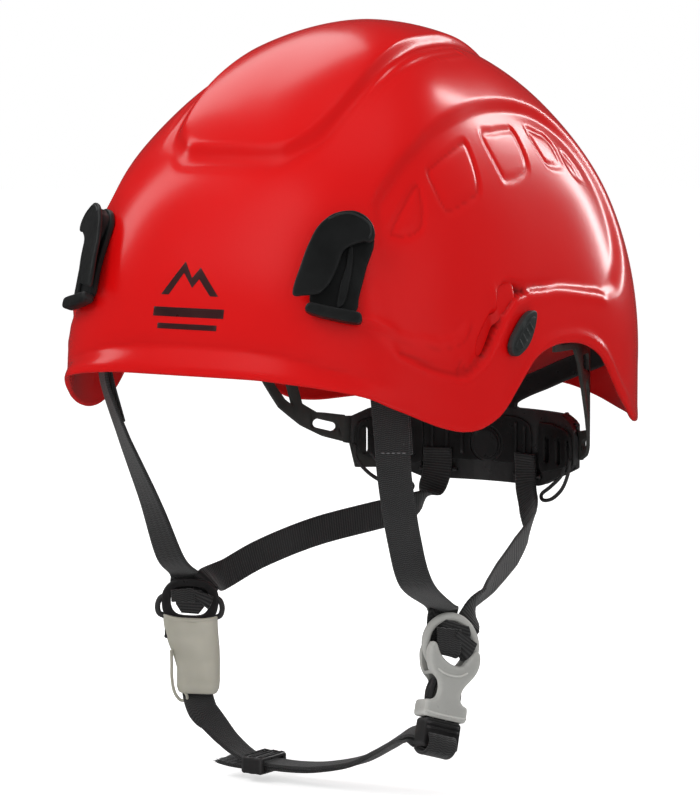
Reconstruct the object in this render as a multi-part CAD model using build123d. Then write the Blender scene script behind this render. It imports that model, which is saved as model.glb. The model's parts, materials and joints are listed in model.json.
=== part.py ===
from build123d import *
import math
import os

# Work-at-height climbing helmet: shell, liner, cradle, nape adjuster and chin harness.
# Millimetres. Front is -Y, the wearer's left is +X, +Z is up.
# Origin: on the mid-plane, at the centre of the dome's plan, 8 mm below the brim's front edge.
# "side" is +1 for the wearer's left and -1 for the right.

SIDES = ((1, "left"), (-1, "right"))
UP = Vector(0, 0, 1)
TO_REAR = (0, 1, 0)

# ---------------------------------------------------------------- driving dimensions
HALF_WIDTH = 110.0                          # outer half width of the shell
LENGTH_FRONT, LENGTH_REAR = 135.2, 143.4    # outer half lengths
HEIGHT = 162.5                              # crown above the origin
PLAN_POWER = 2.978                          # squareness of the plan section
SIDE_POWERS = (2.18, 1.906)                 # profile exponents: of the height, of the radius
FRONT_POWERS = (2.371, 1.658)
REAR_POWERS = (1.964, 1.928)
CROWN_SHIFT = 9.7       # the crown sits this far behind the rim's centre
DOME_LEVELS = (0.13, 0.26, 0.4, 0.54, 0.66, 0.76, 0.85, 0.92, 0.965, 0.99, 0.998)
DOME_POINTS = 48        # points round each loft section
WALL = 2.6              # shell wall
BAND_PROUD = 0.7        # how proud the lower band stands
PANEL_PROUD = 3.0       # how proud the crown panel stands
PROUD_ROOT = 0.8        # how deep band and panel start inside the shell's outer face
LINER_THICKNESS = 12.5
LINER_GAP = 2.8         # between the shell's inner face and the liner
LINER_BOTTOM = 72
LINER_OUTER = -WALL - LINER_GAP             # dome offsets of the liner's two faces
LINER_INNER = LINER_OUTER - LINER_THICKNESS
WEB_WIDTH, WEB_THICKNESS = 15.0, 1.4        # harness webbing
STUD_Y, STUD_Z = 45.0, 18.0                 # tilt studs

# lower edge of the shell in side view (y, z)
RIM = [
    (-150, 8), (-135, 8), (-130, 6.5), (-124, 4.5), (-113, 0.5), (-105, -4), (-92, -10),
    (-83, -13.5), (-73, -16), (-64, -16.5), (-56, -15), (-47, -11.5), (-41, -7), (-35, -1),
    (-23, 9.5), (-15, 14), (-6, 16.5), (5, 17.8), (21, 17), (33, 14), (43, 9.5), (50, 4),
    (57, -3), (66, -11), (79, -19.5), (90, -25), (104, -27), (118, -26), (130, -24),
    (138, -19.5), (143, -14), (147, -9), (151, -7.3), (160, -7)]
# top edge of the lower band in side view (y, z)
BAND_TOP = [
    (-101, 18), (-92, 13), (-80, 8.5), (-69, 7.5), (-63, 9.5), (-55, 15), (-46, 24.5),
    (-37, 34.5), (-27, 40), (-14, 41.5), (10, 41), (33, 38.5), (60, 35), (85, 36), (110, 38),
    (160, 38)]
# left edge of the crown panel in plan (x, y), front to rear
PANEL_EDGE = [
    (27, -104), (34, -96), (40, -88), (43, -76), (44, -60), (42, -39), (39, -15), (34, 16),
    (33, 39), (31, 70), (27, 100), (22, 112)]


# ---------------------------------------------------------------- general helpers
def largest(shape):
    return max(shape.solids(), key=lambda solid: solid.volume)


def save(name, *shapes):
    solids = [solid for shape in shapes for solid in shape.solids()]
    if len(solids) == 1:
        piece = solids[0]
    else:
        piece = Compound(children=[Solid(solid.wrapped) for solid in solids])
    export_step(piece, f"parts/{name}.step")


def mirrored(side, low, high):
    """The span low..high, reflected through zero for the right side."""
    return (low, high) if side > 0 else (-high, -low)


def square_to(axis, rough):
    """Unit vector nearest to rough at right angles to axis."""
    return (rough - axis * rough.dot(axis)).normalized()


def facing(origin, outward):
    """Plane whose z axis is the outward direction and whose y axis points up."""
    return Plane(origin=origin, x_dir=UP.cross(outward), z_dir=outward)


def cylinder(start, direction, radius, length):
    return Solid.make_cylinder(radius, length, Plane(origin=start, z_dir=direction))


# Local shapes: u, v and t run along the plane's x, y and z axes; spans are (low, high).
def block(plane, u, v, t):
    box = Solid.make_box(u[1] - u[0], v[1] - v[0], t[1] - t[0])
    return box.moved(Location((u[0], v[0], t[0]))).moved(plane.location)


def obround(plane, length, width, t, angle=0.0, v=0.0):
    outline = Pos(0, v) * Rot(0, 0, angle) * SlotOverall(length, width)
    solid = extrude(outline.face(), t[1] - t[0]).moved(Location((0, 0, t[0])))
    return solid.solid().moved(plane.location)


def slab(plane, points, t):
    """Polygon of (u, v) points extruded over t."""
    outline = Wire.make_polygon([Vector(u, v, 0) for u, v in points], close=True)
    solid = Solid.extrude(Face(outline), Vector(0, 0, t[1] - t[0]))
    return solid.moved(Location((0, 0, t[0]))).moved(plane.location)


def annulus(plane, v, outer_radius, inner_radius, half_thickness):
    thickness = 2 * half_thickness
    outer = Solid.make_cylinder(outer_radius, thickness).moved(Location((0, v, -half_thickness)))
    inner = Solid.make_cylinder(inner_radius, thickness + 2)
    inner = inner.moved(Location((0, v, -half_thickness - 1)))
    return largest((outer - inner).moved(plane.location))


def side_prism(points, x_start, x_end):
    """Polygon of (y, z) points extruded along X."""
    outline = Wire.make_polygon([Vector(x_start, y, z) for y, z in points], close=True)
    return Solid.extrude(Face(outline), Vector(x_end - x_start, 0, 0))


def face_between(first, second):
    """Face between two curves that run in opposite directions."""
    return Face(Wire([first, Line(first @ 1, second @ 0), second, Line(second @ 1, first @ 0)]))


def ribbon(stations, width=WEB_WIDTH, thickness=WEB_THICKNESS):
    """Ruled strip; a station is x, y, z of its centre, then x, y, z of its width direction."""
    points = [Vector(*row[:3]) for row in stations]
    last = len(points) - 1
    sections = []
    for i, point in enumerate(points):
        tangent = (points[min(i + 1, last)] - points[max(i - 1, 0)]).normalized()
        across = square_to(tangent, Vector(*stations[i][3:]))
        half_w = across * (width / 2)
        half_t = tangent.cross(across) * (thickness / 2)
        corners = [point + half_w + half_t, point - half_w + half_t,
                   point - half_w - half_t, point + half_w - half_t]
        sections.append(Wire.make_polygon(corners, close=True))
    return Solid.make_loft(sections, ruled=True)


# ---------------------------------------------------------------- dome
def signed_power(value, power):
    return math.copysign(abs(value) ** power, value)


def radius_factors(h):
    """Side, front and rear radius at relative height h, as fractions of those at the base."""
    return [(1 - h ** p) ** (1 / q) for p, q in (SIDE_POWERS, FRONT_POWERS, REAR_POWERS)]


def plan_parameter(angle):
    """Superellipse parameter that gives an even spacing of plan angle."""
    return math.atan2(signed_power(math.sin(angle), PLAN_POWER / 2),
                      signed_power(math.cos(angle), PLAN_POWER / 2))


def dome_point(parameter, h, offset=0.0):
    h = min(max(h, 0.0), 1.0)
    side, front, rear = radius_factors(h)
    sine, cosine = math.sin(parameter), math.cos(parameter)
    x = (HALF_WIDTH + offset) * side * signed_power(sine, 2 / PLAN_POWER)
    reach = -(LENGTH_FRONT + offset) * front if cosine > 0 else (LENGTH_REAR + offset) * rear
    y = reach * abs(cosine) ** (2 / PLAN_POWER) + CROWN_SHIFT * h
    return Vector(x, y, (HEIGHT + offset) * h)


def dome(offset, start_z=-50.0):
    """Solid dome, offset from the shell's outer face; its sections start at start_z."""
    height = HEIGHT + offset
    sections = []
    for z in [start_z, start_z / 2, 0.0] + [height * level for level in DOME_LEVELS]:
        points = []
        for i in range(DOME_POINTS):
            parameter = plan_parameter(2 * math.pi * i / DOME_POINTS)
            p = dome_point(parameter, z / height, offset)
            points.append(Vector(p.X, p.Y, z))
        sections.append(Wire([Spline(points, periodic=True)]))
    return Solid.make_loft(sections)


def surface_at(parameter, z):
    """Point and outward unit normal of the shell's outer face."""
    h = z / HEIGHT
    point = dome_point(parameter, h)
    around = dome_point(parameter + 1e-3, h) - dome_point(parameter - 1e-3, h)
    upward = dome_point(parameter, (z + 0.2) / HEIGHT) - dome_point(parameter, (z - 0.2) / HEIGHT)
    normal = around.cross(upward).normalized()
    if normal.dot(point - Vector(0, 0, 40)) < 0:
        normal = normal * -1
    return point, normal


def dome_radius(direction, z, offset):
    """Distance from the Z axis to the dome along a horizontal direction, by bisection."""
    h = max(0.0, z / (HEIGHT + offset))
    if h >= 0.999:
        return 0.0
    side, front, rear = radius_factors(h)
    low, high = 0.0, 170.0
    for _ in range(40):
        middle = (low + high) / 2
        y = direction.Y * middle - CROWN_SHIFT * h
        reach = (LENGTH_FRONT + offset) * front if y < 0 else (LENGTH_REAR + offset) * rear
        across = abs(direction.X * middle) / ((HALF_WIDTH + offset) * side)
        if across ** PLAN_POWER + (abs(y) / reach) ** PLAN_POWER < 1:
            low = middle
        else:
            high = middle
    return low


# ---------------------------------------------------------------- headlamp clips
# name: side, plan angle from the front, stand-off from the dome
CLIPS = {
    "front_left": (1, 36.0, 1.9), "front_right": (-1, 36.0, 1.9),
    "rear_left": (1, 160.0, 2.5), "rear_right": (-1, 160.0, 2.5)}
CLIP_Z = 58.0
CLIP_PEG_V = (10.0, -14.0)
# outlines of the left clips (u, v)
CLIP_BASE = [
    (-14, -21), (6, -21), (8.5, -10), (10.7, -0.6), (13, 7.5), (13.6, 13.5), (11, 18.5),
    (5.5, 21.5), (-1, 20.5), (-6, 18.5), (-9, 12), (-12, 0)]
CLIP_FLAP = [
    (-21.2, -15.3), (-12, -15.2), (-8, -12.8), (-5.6, -10), (-3, -4.5), (-1, 1), (0.5, 4),
    (4, 6.6), (9, 8.4), (12.8, 8.6), (13.4, 13.5), (10, 20), (4, 22.3), (-2, 21.6),
    (-6.4, 19.6), (-11.8, 14), (-16, 5)]
CLIP_WEB = [
    (0.5, 5), (4, 7.4), (9, 9.2), (13, 9.2), (13.2, 13), (10, 19.5), (4, 21.2),
    (-0.5, 20.2), (-5.5, 18), (-7, 12)]


def clip_plane(side, degrees, standoff):
    """Frame on the dome, v up; t points out on the left side and in on the right."""
    point, normal = surface_at(side * plan_parameter(math.radians(degrees)), CLIP_Z)
    return facing(point + normal * standoff, normal * side)


def headlamp_clip(side, degrees, standoff):
    plane = clip_plane(side, degrees, standoff)
    base = slab(plane, CLIP_BASE, mirrored(side, 0, 2))
    foot = block(plane, (-15.5, 7.5), (-25.5, -20.5), mirrored(side, 0, 7))
    flap = slab(plane, CLIP_FLAP, mirrored(side, 5.2, 7.4))
    web = slab(plane, CLIP_WEB, mirrored(side, 1.5, 6))
    clip = base + foot + web + flap
    for v in CLIP_PEG_V:
        clip = clip + obround(plane, 8, 4, mirrored(side, -7.5, 1), v=v)
    return largest(clip)


# ---------------------------------------------------------------- shell and visor plugs
VISOR_ANGLE = math.radians(39.0)    # slope of the visor sockets, rising to the rear


def below_edge(edge, y_end, y_start, z_bottom):
    """Full-width prism below a spline of (y, z) points."""
    top = Spline([Vector(-200, y, z) for y, z in edge])
    end, start = Vector(-200, y_end, z_bottom), Vector(-200, y_start, z_bottom)
    outline = Wire([top, Line(top @ 1, end), Line(end, start), Line(start, top @ 0)])
    return Solid.extrude(Face(outline), Vector(400, 0, 0))


def panel_prism():
    left = Spline([Vector(x, y, 95) for x, y in PANEL_EDGE])
    right = Spline([Vector(-x, y, 95) for x, y in reversed(PANEL_EDGE)])
    return Solid.extrude(face_between(left, right), Vector(0, 0, 120))


def visor_plane(side):
    slope = Vector(0, math.cos(VISOR_ANGLE), math.sin(VISOR_ANGLE))
    return Plane(origin=Vector(side * 110.4, -31.5, 25.5), x_dir=slope, z_dir=Vector(side, 0, 0))


def outer_shell():
    shell = dome(0.0)
    band = (dome(BAND_PROUD) - dome(-PROUD_ROOT)) & below_edge(BAND_TOP, 160, -101, -60)
    panel = (dome(PANEL_PROUD) - dome(-PROUD_ROOT)) & panel_prism()
    shell = largest(shell + band)
    shell = largest(shell + panel)
    shell = largest(shell - dome(-WALL, -60.0))
    # tilt-stud bosses on the inner wall
    for side, _ in SIDES:
        boss = cylinder((side * 98.6, STUD_Y, STUD_Z), (side, 0, 0), 6.0, 9.5)
        shell = largest(shell + boss)
    shell = largest(shell - below_edge(RIM, 170, -170, -90))
    for side, _ in SIDES:
        hole = cylinder((side * 97.0, STUD_Y, STUD_Z), (side, 0, 0), 2.56, 8.0)
        shell = largest(shell - hole)
    # accessory slots along the band's sloping front edge, one each side
    slope = Vector(0, 0.70, 0.714).normalized()
    for side, _ in SIDES:
        plane = Plane(origin=Vector(side * 107.2, -45.0, 27.0), x_dir=slope,
                      z_dir=Vector(side, 0, 0))
        slot = block(plane, (-15, 15), mirrored(side, -4, 2), (0.6, 2.6))
        shell = largest(shell - slot)
    # visor sockets through the wall
    for side, _ in SIDES:
        shell = largest(shell - obround(visor_plane(side), 12, 5, (-14, 6)))
    # sockets for the headlamp clips' pegs
    for side, degrees, standoff in CLIPS.values():
        plane = clip_plane(side, degrees, standoff)
        for v in CLIP_PEG_V:
            socket = obround(plane, 8.5, 4.5, mirrored(side, -9, 1), v=v)
            shell = largest(shell - socket)
    return shell


def visor_plug(side):
    pad = obround(visor_plane(side), 27, 9.6, (0.9, 2.9))
    peg = obround(visor_plane(side), 11.6, 4.6, (-6.5, 1.2))
    return largest(pad + peg)


# ---------------------------------------------------------------- liner and cradle
CRADLE_ANGLE = 58           # side straps, from the mid-plane
CRADLE_WIDTH, CRADLE_THICKNESS = 20, 1.3
CRADLE_Z = 46               # ends of the cradle straps
CRADLE_CLEARANCE = 4.4      # least horizontal gap to the liner
CRADLE_STEPS = 24
PAD_TOP, PAD_RADIUS, PAD_THICKNESS = 124.4, 116.0, 5.0
KEY_Z = 48.0
# suspension keys: plan angle from the front, inner radius
KEYS = [
    (CRADLE_ANGLE - 180, 91.6), (-CRADLE_ANGLE, 91.6), (CRADLE_ANGLE, 91.6),
    (180 - CRADLE_ANGLE, 91.6), (0, 105.5), (180, 111.5)]


def crown_liner():
    liner = dome(LINER_OUTER, 39.99) - dome(LINER_INNER, 20.0)
    below = Solid.make_box(400, 400, 200).moved(Location((-200, -200, LINER_BOTTOM - 200)))
    return largest(liner - below)


def cradle_strap(angle, front_reach, rear_reach, top):
    """Webbing arch in a vertical plane turned by angle about Z, kept clear of the liner."""
    def arch(inset):
        points = []
        for i in range(CRADLE_STEPS + 1):
            turn = math.pi * i / CRADLE_STEPS
            cosine = math.cos(turn)
            z = CRADLE_Z + (top - CRADLE_Z - inset) * abs(math.sin(turn)) ** 0.9
            sign, reach = (1, front_reach) if cosine > 0 else (-1, rear_reach)
            direction = Vector(0, -sign, 0).rotate(Axis.Z, angle)
            clear = min(dome_radius(direction, z + dz, LINER_INNER) for dz in (0, 2))
            radius = 0.0
            if abs(cosine) > 1e-6:
                radius = min(reach - inset, clear - CRADLE_CLEARANCE - inset,
                             reach * abs(cosine) ** 0.62)
            points.append(Vector(0, -sign * radius, z))
        return points

    outer = Spline(arch(0))
    inner = Spline(list(reversed(arch(CRADLE_THICKNESS))))
    strap = Solid.extrude(face_between(outer, inner), Vector(CRADLE_WIDTH, 0, 0))
    return strap.moved(Location((-CRADLE_WIDTH / 2, 0, 0))).rotate(Axis.Z, angle)


def crown_pad():
    """Round piece of a spherical skin."""
    centre = Location((0, 0, PAD_TOP - PAD_RADIUS))
    outer, inner = [Solid.make_sphere(radius, angle1=-90, angle2=90).moved(centre)
                    for radius in (PAD_RADIUS, PAD_RADIUS - PAD_THICKNESS)]
    return largest((outer - inner) & Solid.make_cylinder(34, 60).moved(Location((0, 0, 90))))


def suspension_keys():
    """Blocks from the cradle's ends to the shell's inner wall."""
    wall = dome(-WALL - 0.5, 30.0)
    keys = []
    for degrees, inner_radius in KEYS:
        angle = math.radians(degrees)
        plane = facing(Vector(0, 0, KEY_Z), Vector(math.sin(angle), -math.cos(angle), 0))
        keys.append(largest(block(plane, (-8, 8), (-6, 6), (inner_radius, 160)) & wall))
    return keys


# ---------------------------------------------------------------- headband
HEADBAND_X, HEADBAND_Y = 80.0, 100.0    # inner half axes
HEADBAND_THICKNESS = 1.8
HEADBAND_CENTRE_Y = -2.0
HEADBAND_HEIGHTS = (17, 41)
BROW_INSET, BROW_THICKNESS = 5.4, 5.0
BAND_STATIONS = 33


def ellipse_band(radius_x, radius_y, thickness, half_angle, heights):
    """Upright elliptical strip, centred on the front."""
    def points(growth):
        result = []
        for i in range(BAND_STATIONS):
            angle = math.radians(-half_angle + 2 * half_angle * i / (BAND_STATIONS - 1))
            result.append(Vector((radius_x + growth) * math.sin(angle),
                                 HEADBAND_CENTRE_Y - (radius_y + growth) * math.cos(angle),
                                 heights[0]))
        return result

    outer, inner = Spline(points(thickness)), Spline(list(reversed(points(0))))
    return Solid.extrude(face_between(outer, inner), Vector(0, 0, heights[1] - heights[0]))


def headband():
    band = ellipse_band(HEADBAND_X, HEADBAND_Y, HEADBAND_THICKNESS, 118, HEADBAND_HEIGHTS)
    middle = HEADBAND_THICKNESS / 2
    for degrees in range(-105, 106, 15):
        sine, cosine = math.sin(math.radians(degrees)), math.cos(math.radians(degrees))
        centre = Vector((HEADBAND_X + middle) * sine,
                        HEADBAND_CENTRE_Y - (HEADBAND_Y + middle) * cosine,
                        sum(HEADBAND_HEIGHTS) / 2)
        outward = Vector(sine / HEADBAND_X, -cosine / HEADBAND_Y, 0).normalized()
        band = band - obround(facing(centre, outward), 15, 9, (-6, 6))
    return largest(band)


def brow_pad():
    return ellipse_band(HEADBAND_X - BROW_INSET, HEADBAND_Y - BROW_INSET, BROW_THICKNESS,
                        66, (15, 43))


# ---------------------------------------------------------------- nape adjuster
# Arms, yoke and cover are bent about a vertical axis at (0, NAPE_Y).
# Nape angles are in degrees from +Y, positive towards +X.
NAPE_Y = 27.0
ARC_RADIUS = 96.0           # mid radius of the arms
ARM_THICKNESS = 1.6
ARM_INNER, ARM_OUTER = ARC_RADIUS - ARM_THICKNESS / 2, ARC_RADIUS + ARM_THICKNESS / 2
ARM_END_DEG = 13.0          # how far a rack runs past the centre
RACK_END_DEG = 25           # last tooth gap, on the arm's own side
PINION_Z = -45.0
MODULE, TEETH = 1.0, 14
PINION_RADIUS = MODULE * TEETH / 2
PRESSURE_ANGLE = math.radians(20)
PITCH = math.pi * MODULE
PITCH_DEG = math.degrees(PITCH / ARC_RADIUS)
RACK_ADDENDUM, RACK_DEDENDUM = 0.85, 1.2
BACKLASH = 0.10             # taken off each flank
RACK_BACK = 14.0            # a rack's plain edge from the pinion's axis
YOKE_HALF_HEIGHT = 18.6
YOKE_RAIL = 3.6             # height of the rails
COVER_HALF_HEIGHT = 18.0
SHAFT_HOLE = 3.06
TAB_SLOT_DEG = 16.5         # rear chin strap slots in the yoke

# front end of each arm's neck in side view (y, z)
NECK_LEFT = [(104, -47), (104, -33), (91, -33), (91, -45.5), (96.5, -47)]
NECK_RIGHT = [(104, -59.2), (104, -33), (91, -33), (91, -45.5), (96.5, -47), (98.5, -59.2)]
# side plate of an arm, from the yoke up to the tilt stud, and its two openings (y, z)
ARM_OUTLINE = [
    (97, -47), (97, -33), (86, -31), (82.5, -30.6), (76, -26), (72.5, -12), (70.5, 2),
    (69.5, 24), (20.5, 24), (20.5, 12), (40, 12), (45, 6), (50, -4), (56.5, -15),
    (65, -27.5), (76, -37), (86, -43)]
ARM_OPENINGS = [
    [(71.8, -27), (67.5, -23.5), (60, -13), (56.5, -6), (60, -3.5), (67, -9), (69.5, -18)],
    [(55, 0.5), (51, 4), (51.5, 8.5), (62, 8.5), (66, 5), (66, 0), (64, -1), (58.5, 1)]]
# left half of the yoke and cover outline seen along Y (x, z), top to bottom
TAPER_EDGE = [
    (49, -26.0), (58, -29.0), (64, -32.5), (66.5, -37), (66.5, -48), (60, -52.5),
    (50, -56.5), (41.6, -60), (36, -62.5), (32, -64.0)]
# cover screws (nape angle, z)
SCREWS = [(-29, -28.2), (29, -28.2), (-14, -61.8), (14, -61.8)]
# rear hanger, left: x, y, z of the centre line, from the yoke to the shell's rear corner
HANGER = [
    (13, 119.3, -20.4), (20, 121.0, -16.4), (30, 123.5, -12), (41, 125.0, -7),
    (52, 125.5, -2.5), (61, 125.0, 1.0)]


def nape_point(radius, degrees, z):
    angle = math.radians(degrees)
    return Vector(radius * math.sin(angle), NAPE_Y + radius * math.cos(angle), z)


def sector(inner_radius, outer_radius, angles, heights):
    """Ring sector about the nape axis."""
    start, end = angles
    middle = (start + end) / 2
    outer = ThreePointArc(*[nape_point(outer_radius, a, heights[0]) for a in (start, middle, end)])
    inner = ThreePointArc(*[nape_point(inner_radius, a, heights[0]) for a in (end, middle, start)])
    return Solid.extrude(face_between(outer, inner), Vector(0, 0, heights[1] - heights[0]))


def radial_plane(degrees, z, radius):
    angle = math.radians(degrees)
    outward = Vector(math.sin(angle), math.cos(angle), 0)
    return facing(Vector(0, NAPE_Y, z) + outward * radius, outward)


def radial_cylinder(place, start, radius, length):
    """Cylinder pointing out from the nape axis; place is (nape angle, z)."""
    plane = radial_plane(*place, start)
    return cylinder(plane.origin, plane.z_dir, radius, length)


def pinion_cylinder(start, radius, length, dx=0.0, dz=0.0):
    """Cylinder along +Y, starting beyond the nape axis, placed from the pinion's axis."""
    return cylinder((dx, NAPE_Y + start, PINION_Z + dz), TO_REAR, radius, length)


def rack(side):
    """Toothed strip: above the pinion on the left arm, below it on the right."""
    tip, root = PINION_RADIUS - RACK_ADDENDUM, PINION_RADIUS + RACK_DEDENDUM
    low, high = mirrored(side, tip, RACK_BACK)
    strip = sector(ARM_INNER, ARM_OUTER, mirrored(side, -ARM_END_DEG, 42),
                   (PINION_Z + low, PINION_Z + high))
    # one trapezoid per gap between teeth, run 2 mm out past the tips
    slope = math.tan(PRESSURE_ANGLE)
    half_gap = PITCH / 4 + BACKLASH
    root_half = half_gap - RACK_DEDENDUM * slope
    open_half = half_gap + (RACK_ADDENDUM + 2.0) * slope
    gap = [(-open_half, side * (tip - 2.0)), (open_half, side * (tip - 2.0)),
           (root_half, side * root), (-root_half, side * root)]
    first = math.ceil(-ARM_END_DEG / PITCH_DEG - 1)
    last = math.floor(RACK_END_DEG / PITCH_DEG)
    for i in range(first, last + 1):
        strip = strip - slab(radial_plane(side * i * PITCH_DEG, PINION_Z, ARC_RADIUS), gap, (-2, 2))
    return largest(strip)


def nape_arm(side):
    def side_slot(y, z, length, width, angle=0.0):
        plane = Plane(origin=Vector(side * 60, y, z), x_dir=Vector(0, 1, 0), z_dir=Vector(1, 0, 0))
        return obround(plane, length, width, (-80, 80), angle)

    teeth = rack(side)
    neck = sector(ARM_INNER, ARM_OUTER, mirrored(side, 39, 46), (-59, -32))
    neck = neck & side_prism(NECK_LEFT if side > 0 else NECK_RIGHT, side * 40, side * 120)
    plate = sector(ARM_INNER, ARM_OUTER, mirrored(side, 45.5, 96), (-60, 26))
    plate = plate & side_prism(ARM_OUTLINE, side * 60, side * 120)
    plate = plate - side_slot(86, -37.2, 11, 4.6, -18)
    for opening in ARM_OPENINGS:
        plate = plate - side_prism(opening, side * 60, side * 120)
    plate = plate - side_slot(STUD_Y, STUD_Z, 40.5, 5.8)
    return largest(teeth + neck + plate)


def taper_prism():
    edge = TAPER_EDGE + [(-x, z) for x, z in reversed(TAPER_EDGE)]
    outline = Wire.make_polygon([Vector(x, 60, z) for x, z in edge], close=True)
    return Solid.extrude(Face(outline), Vector(0, 80, 0))


def nape_yoke():
    """Inner plate with a rail along its top and bottom."""
    bottom, top = PINION_Z - YOKE_HALF_HEIGHT, PINION_Z + YOKE_HALF_HEIGHT
    yoke = sector(92.6, 94.9, (-44, 44), (bottom, top))
    top_rail = sector(94.7, 97.0, (-43.5, 43.5), (top - YOKE_RAIL, top))
    bottom_rail = sector(94.7, 97.0, (-43.5, 43.5), (bottom, bottom + YOKE_RAIL))
    yoke = yoke + top_rail + bottom_rail
    for side, _ in SIDES:
        for degrees in (26.0, 33.0, 40.0):
            plane = radial_plane(side * degrees, PINION_Z, 90)
            yoke = yoke - obround(plane, 14, 4.4, (-1, 5.2), 90)
        # slot at the lower edge for the rear chin strap
        yoke = yoke - obround(radial_plane(side * TAB_SLOT_DEG, -56.5, 90), 18, 2.6, (-1, 5.2))
    yoke = yoke - pinion_cylinder(86, SHAFT_HOLE, 12)
    yoke = yoke & taper_prism()
    for place in SCREWS:
        yoke = yoke - radial_cylinder(place, 93.2, 1.05, 6)
    return largest(yoke)


def yoke_cover():
    heights = (PINION_Z - COVER_HALF_HEIGHT, PINION_Z + COVER_HALF_HEIGHT)
    cover = sector(97.15, 99.3, (-38, 38), heights) & taper_prism()
    cover = cover - pinion_cylinder(91, SHAFT_HOLE, 14)
    for place in SCREWS:
        cover = cover - radial_cylinder(place, 96, 1.3, 6)
    return largest(cover)


def cover_screws():
    return [largest(radial_cylinder(place, 93.6, 1.0, 6.0)
                    + radial_cylinder(place, 99.4, 1.9, 1.1)) for place in SCREWS]


def pinion_profile():
    """Involute outline as (radius, angle) points; the first tooth is half a pitch round."""
    base_radius = PINION_RADIUS * math.cos(PRESSURE_ANGLE)
    tip_radius, root_radius = PINION_RADIUS + 0.80, PINION_RADIUS - 1.15
    half_tooth = math.pi / 2 / TEETH - BACKLASH / PINION_RADIUS

    def involute(angle):
        return math.tan(angle) - angle

    flank = []
    for radius in (base_radius, base_radius + 0.18, PINION_RADIUS, PINION_RADIUS + 0.4,
                   tip_radius):
        pressure = math.acos(min(1.0, base_radius / radius))
        flank.append((radius, half_tooth + involute(PRESSURE_ANGLE) - involute(pressure)))
    flank.insert(0, (root_radius, flank[0][1] + 0.01))
    points = []
    for i in range(TEETH):
        centre = 2 * math.pi * (i + 0.5) / TEETH
        points += [(radius, centre - half) for radius, half in flank]
        points += [(radius, centre + half) for radius, half in reversed(flank)]
    return points


def adjuster_pinion():
    # a tooth points up, into the gap of the upper rack at x = 0
    turn = math.pi / 2 - math.pi / TEETH
    plane = Plane(origin=Vector(0, NAPE_Y + 95.05, PINION_Z), x_dir=Vector(-1, 0, 0),
                  z_dir=Vector(0, 1, 0))
    outline = [(radius * math.cos(angle + turn), radius * math.sin(angle + turn))
               for radius, angle in pinion_profile()]
    gear = slab(plane, outline, (0, 1.5))
    shaft = pinion_cylinder(91.0, 3.0, 17.5)
    hub = pinion_cylinder(90.8, 6.8, 1.5)
    pinion = largest(shaft + gear + hub)
    return largest(pinion - pinion_cylinder(103.5, 1.05, 6))


def adjuster_knob():
    def around(knob, count, ring_radius, radius, length):
        for i in range(count):
            angle = 2 * math.pi * i / count
            knob = knob - pinion_cylinder(100.0, radius, length, ring_radius * math.cos(angle),
                                          ring_radius * math.sin(angle))
        return knob

    knob = pinion_cylinder(100.4, 19.0, 9.0)
    knob = knob - pinion_cylinder(100.0, 15.5, 4.4)
    knob = knob + pinion_cylinder(100.4, 5.0, 5.0)
    knob = knob - pinion_cylinder(100.0, 3.04, 9.0)
    knob = knob - pinion_cylinder(109.0, 3.4, 3.0)
    # grip flutes on the rim, then click notches inside
    knob = around(knob, 24, 19.7, 1.5, 12)
    knob = around(knob, 30, 15.4, 0.9, 4.4)
    return largest(knob)


def knob_screw():
    return largest(pinion_cylinder(104.2, 1.0, 5.6) + pinion_cylinder(108.9, 2.9, 1.2))


def click_spring():
    """Ring behind the cover, cut into two arcs."""
    ring = pinion_cylinder(99.55, 13.2, 3.0) - pinion_cylinder(99.0, 10.6, 6)
    for x, dz in ((-6, -18), (4, 9)):
        cut = Solid.make_box(2.0, 6, 9)
        ring = ring - cut.moved(Location((x, NAPE_Y + 99.0, PINION_Z + dz)))
    return sorted(ring.solids(), key=lambda solid: -solid.volume)[:2]


def tilt_stud(side):
    shank = cylinder((side * 87.0, STUD_Y, STUD_Z), (side, 0, 0), 2.5, 17.0)
    head = cylinder((side * 84.6, STUD_Y, STUD_Z), (side, 0, 0), 5.5, 2.6)
    return largest(shank + head)


def rear_hanger(side):
    stations = [(side * x, y, z, 0, 0.1, 1) for x, y, z in HANGER]
    lug = sector(93.0, 94.6, mirrored(side, 4, 12), (-26.35, -15))
    return largest(ribbon(stations, 10.5, 1.8) + lug)


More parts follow.
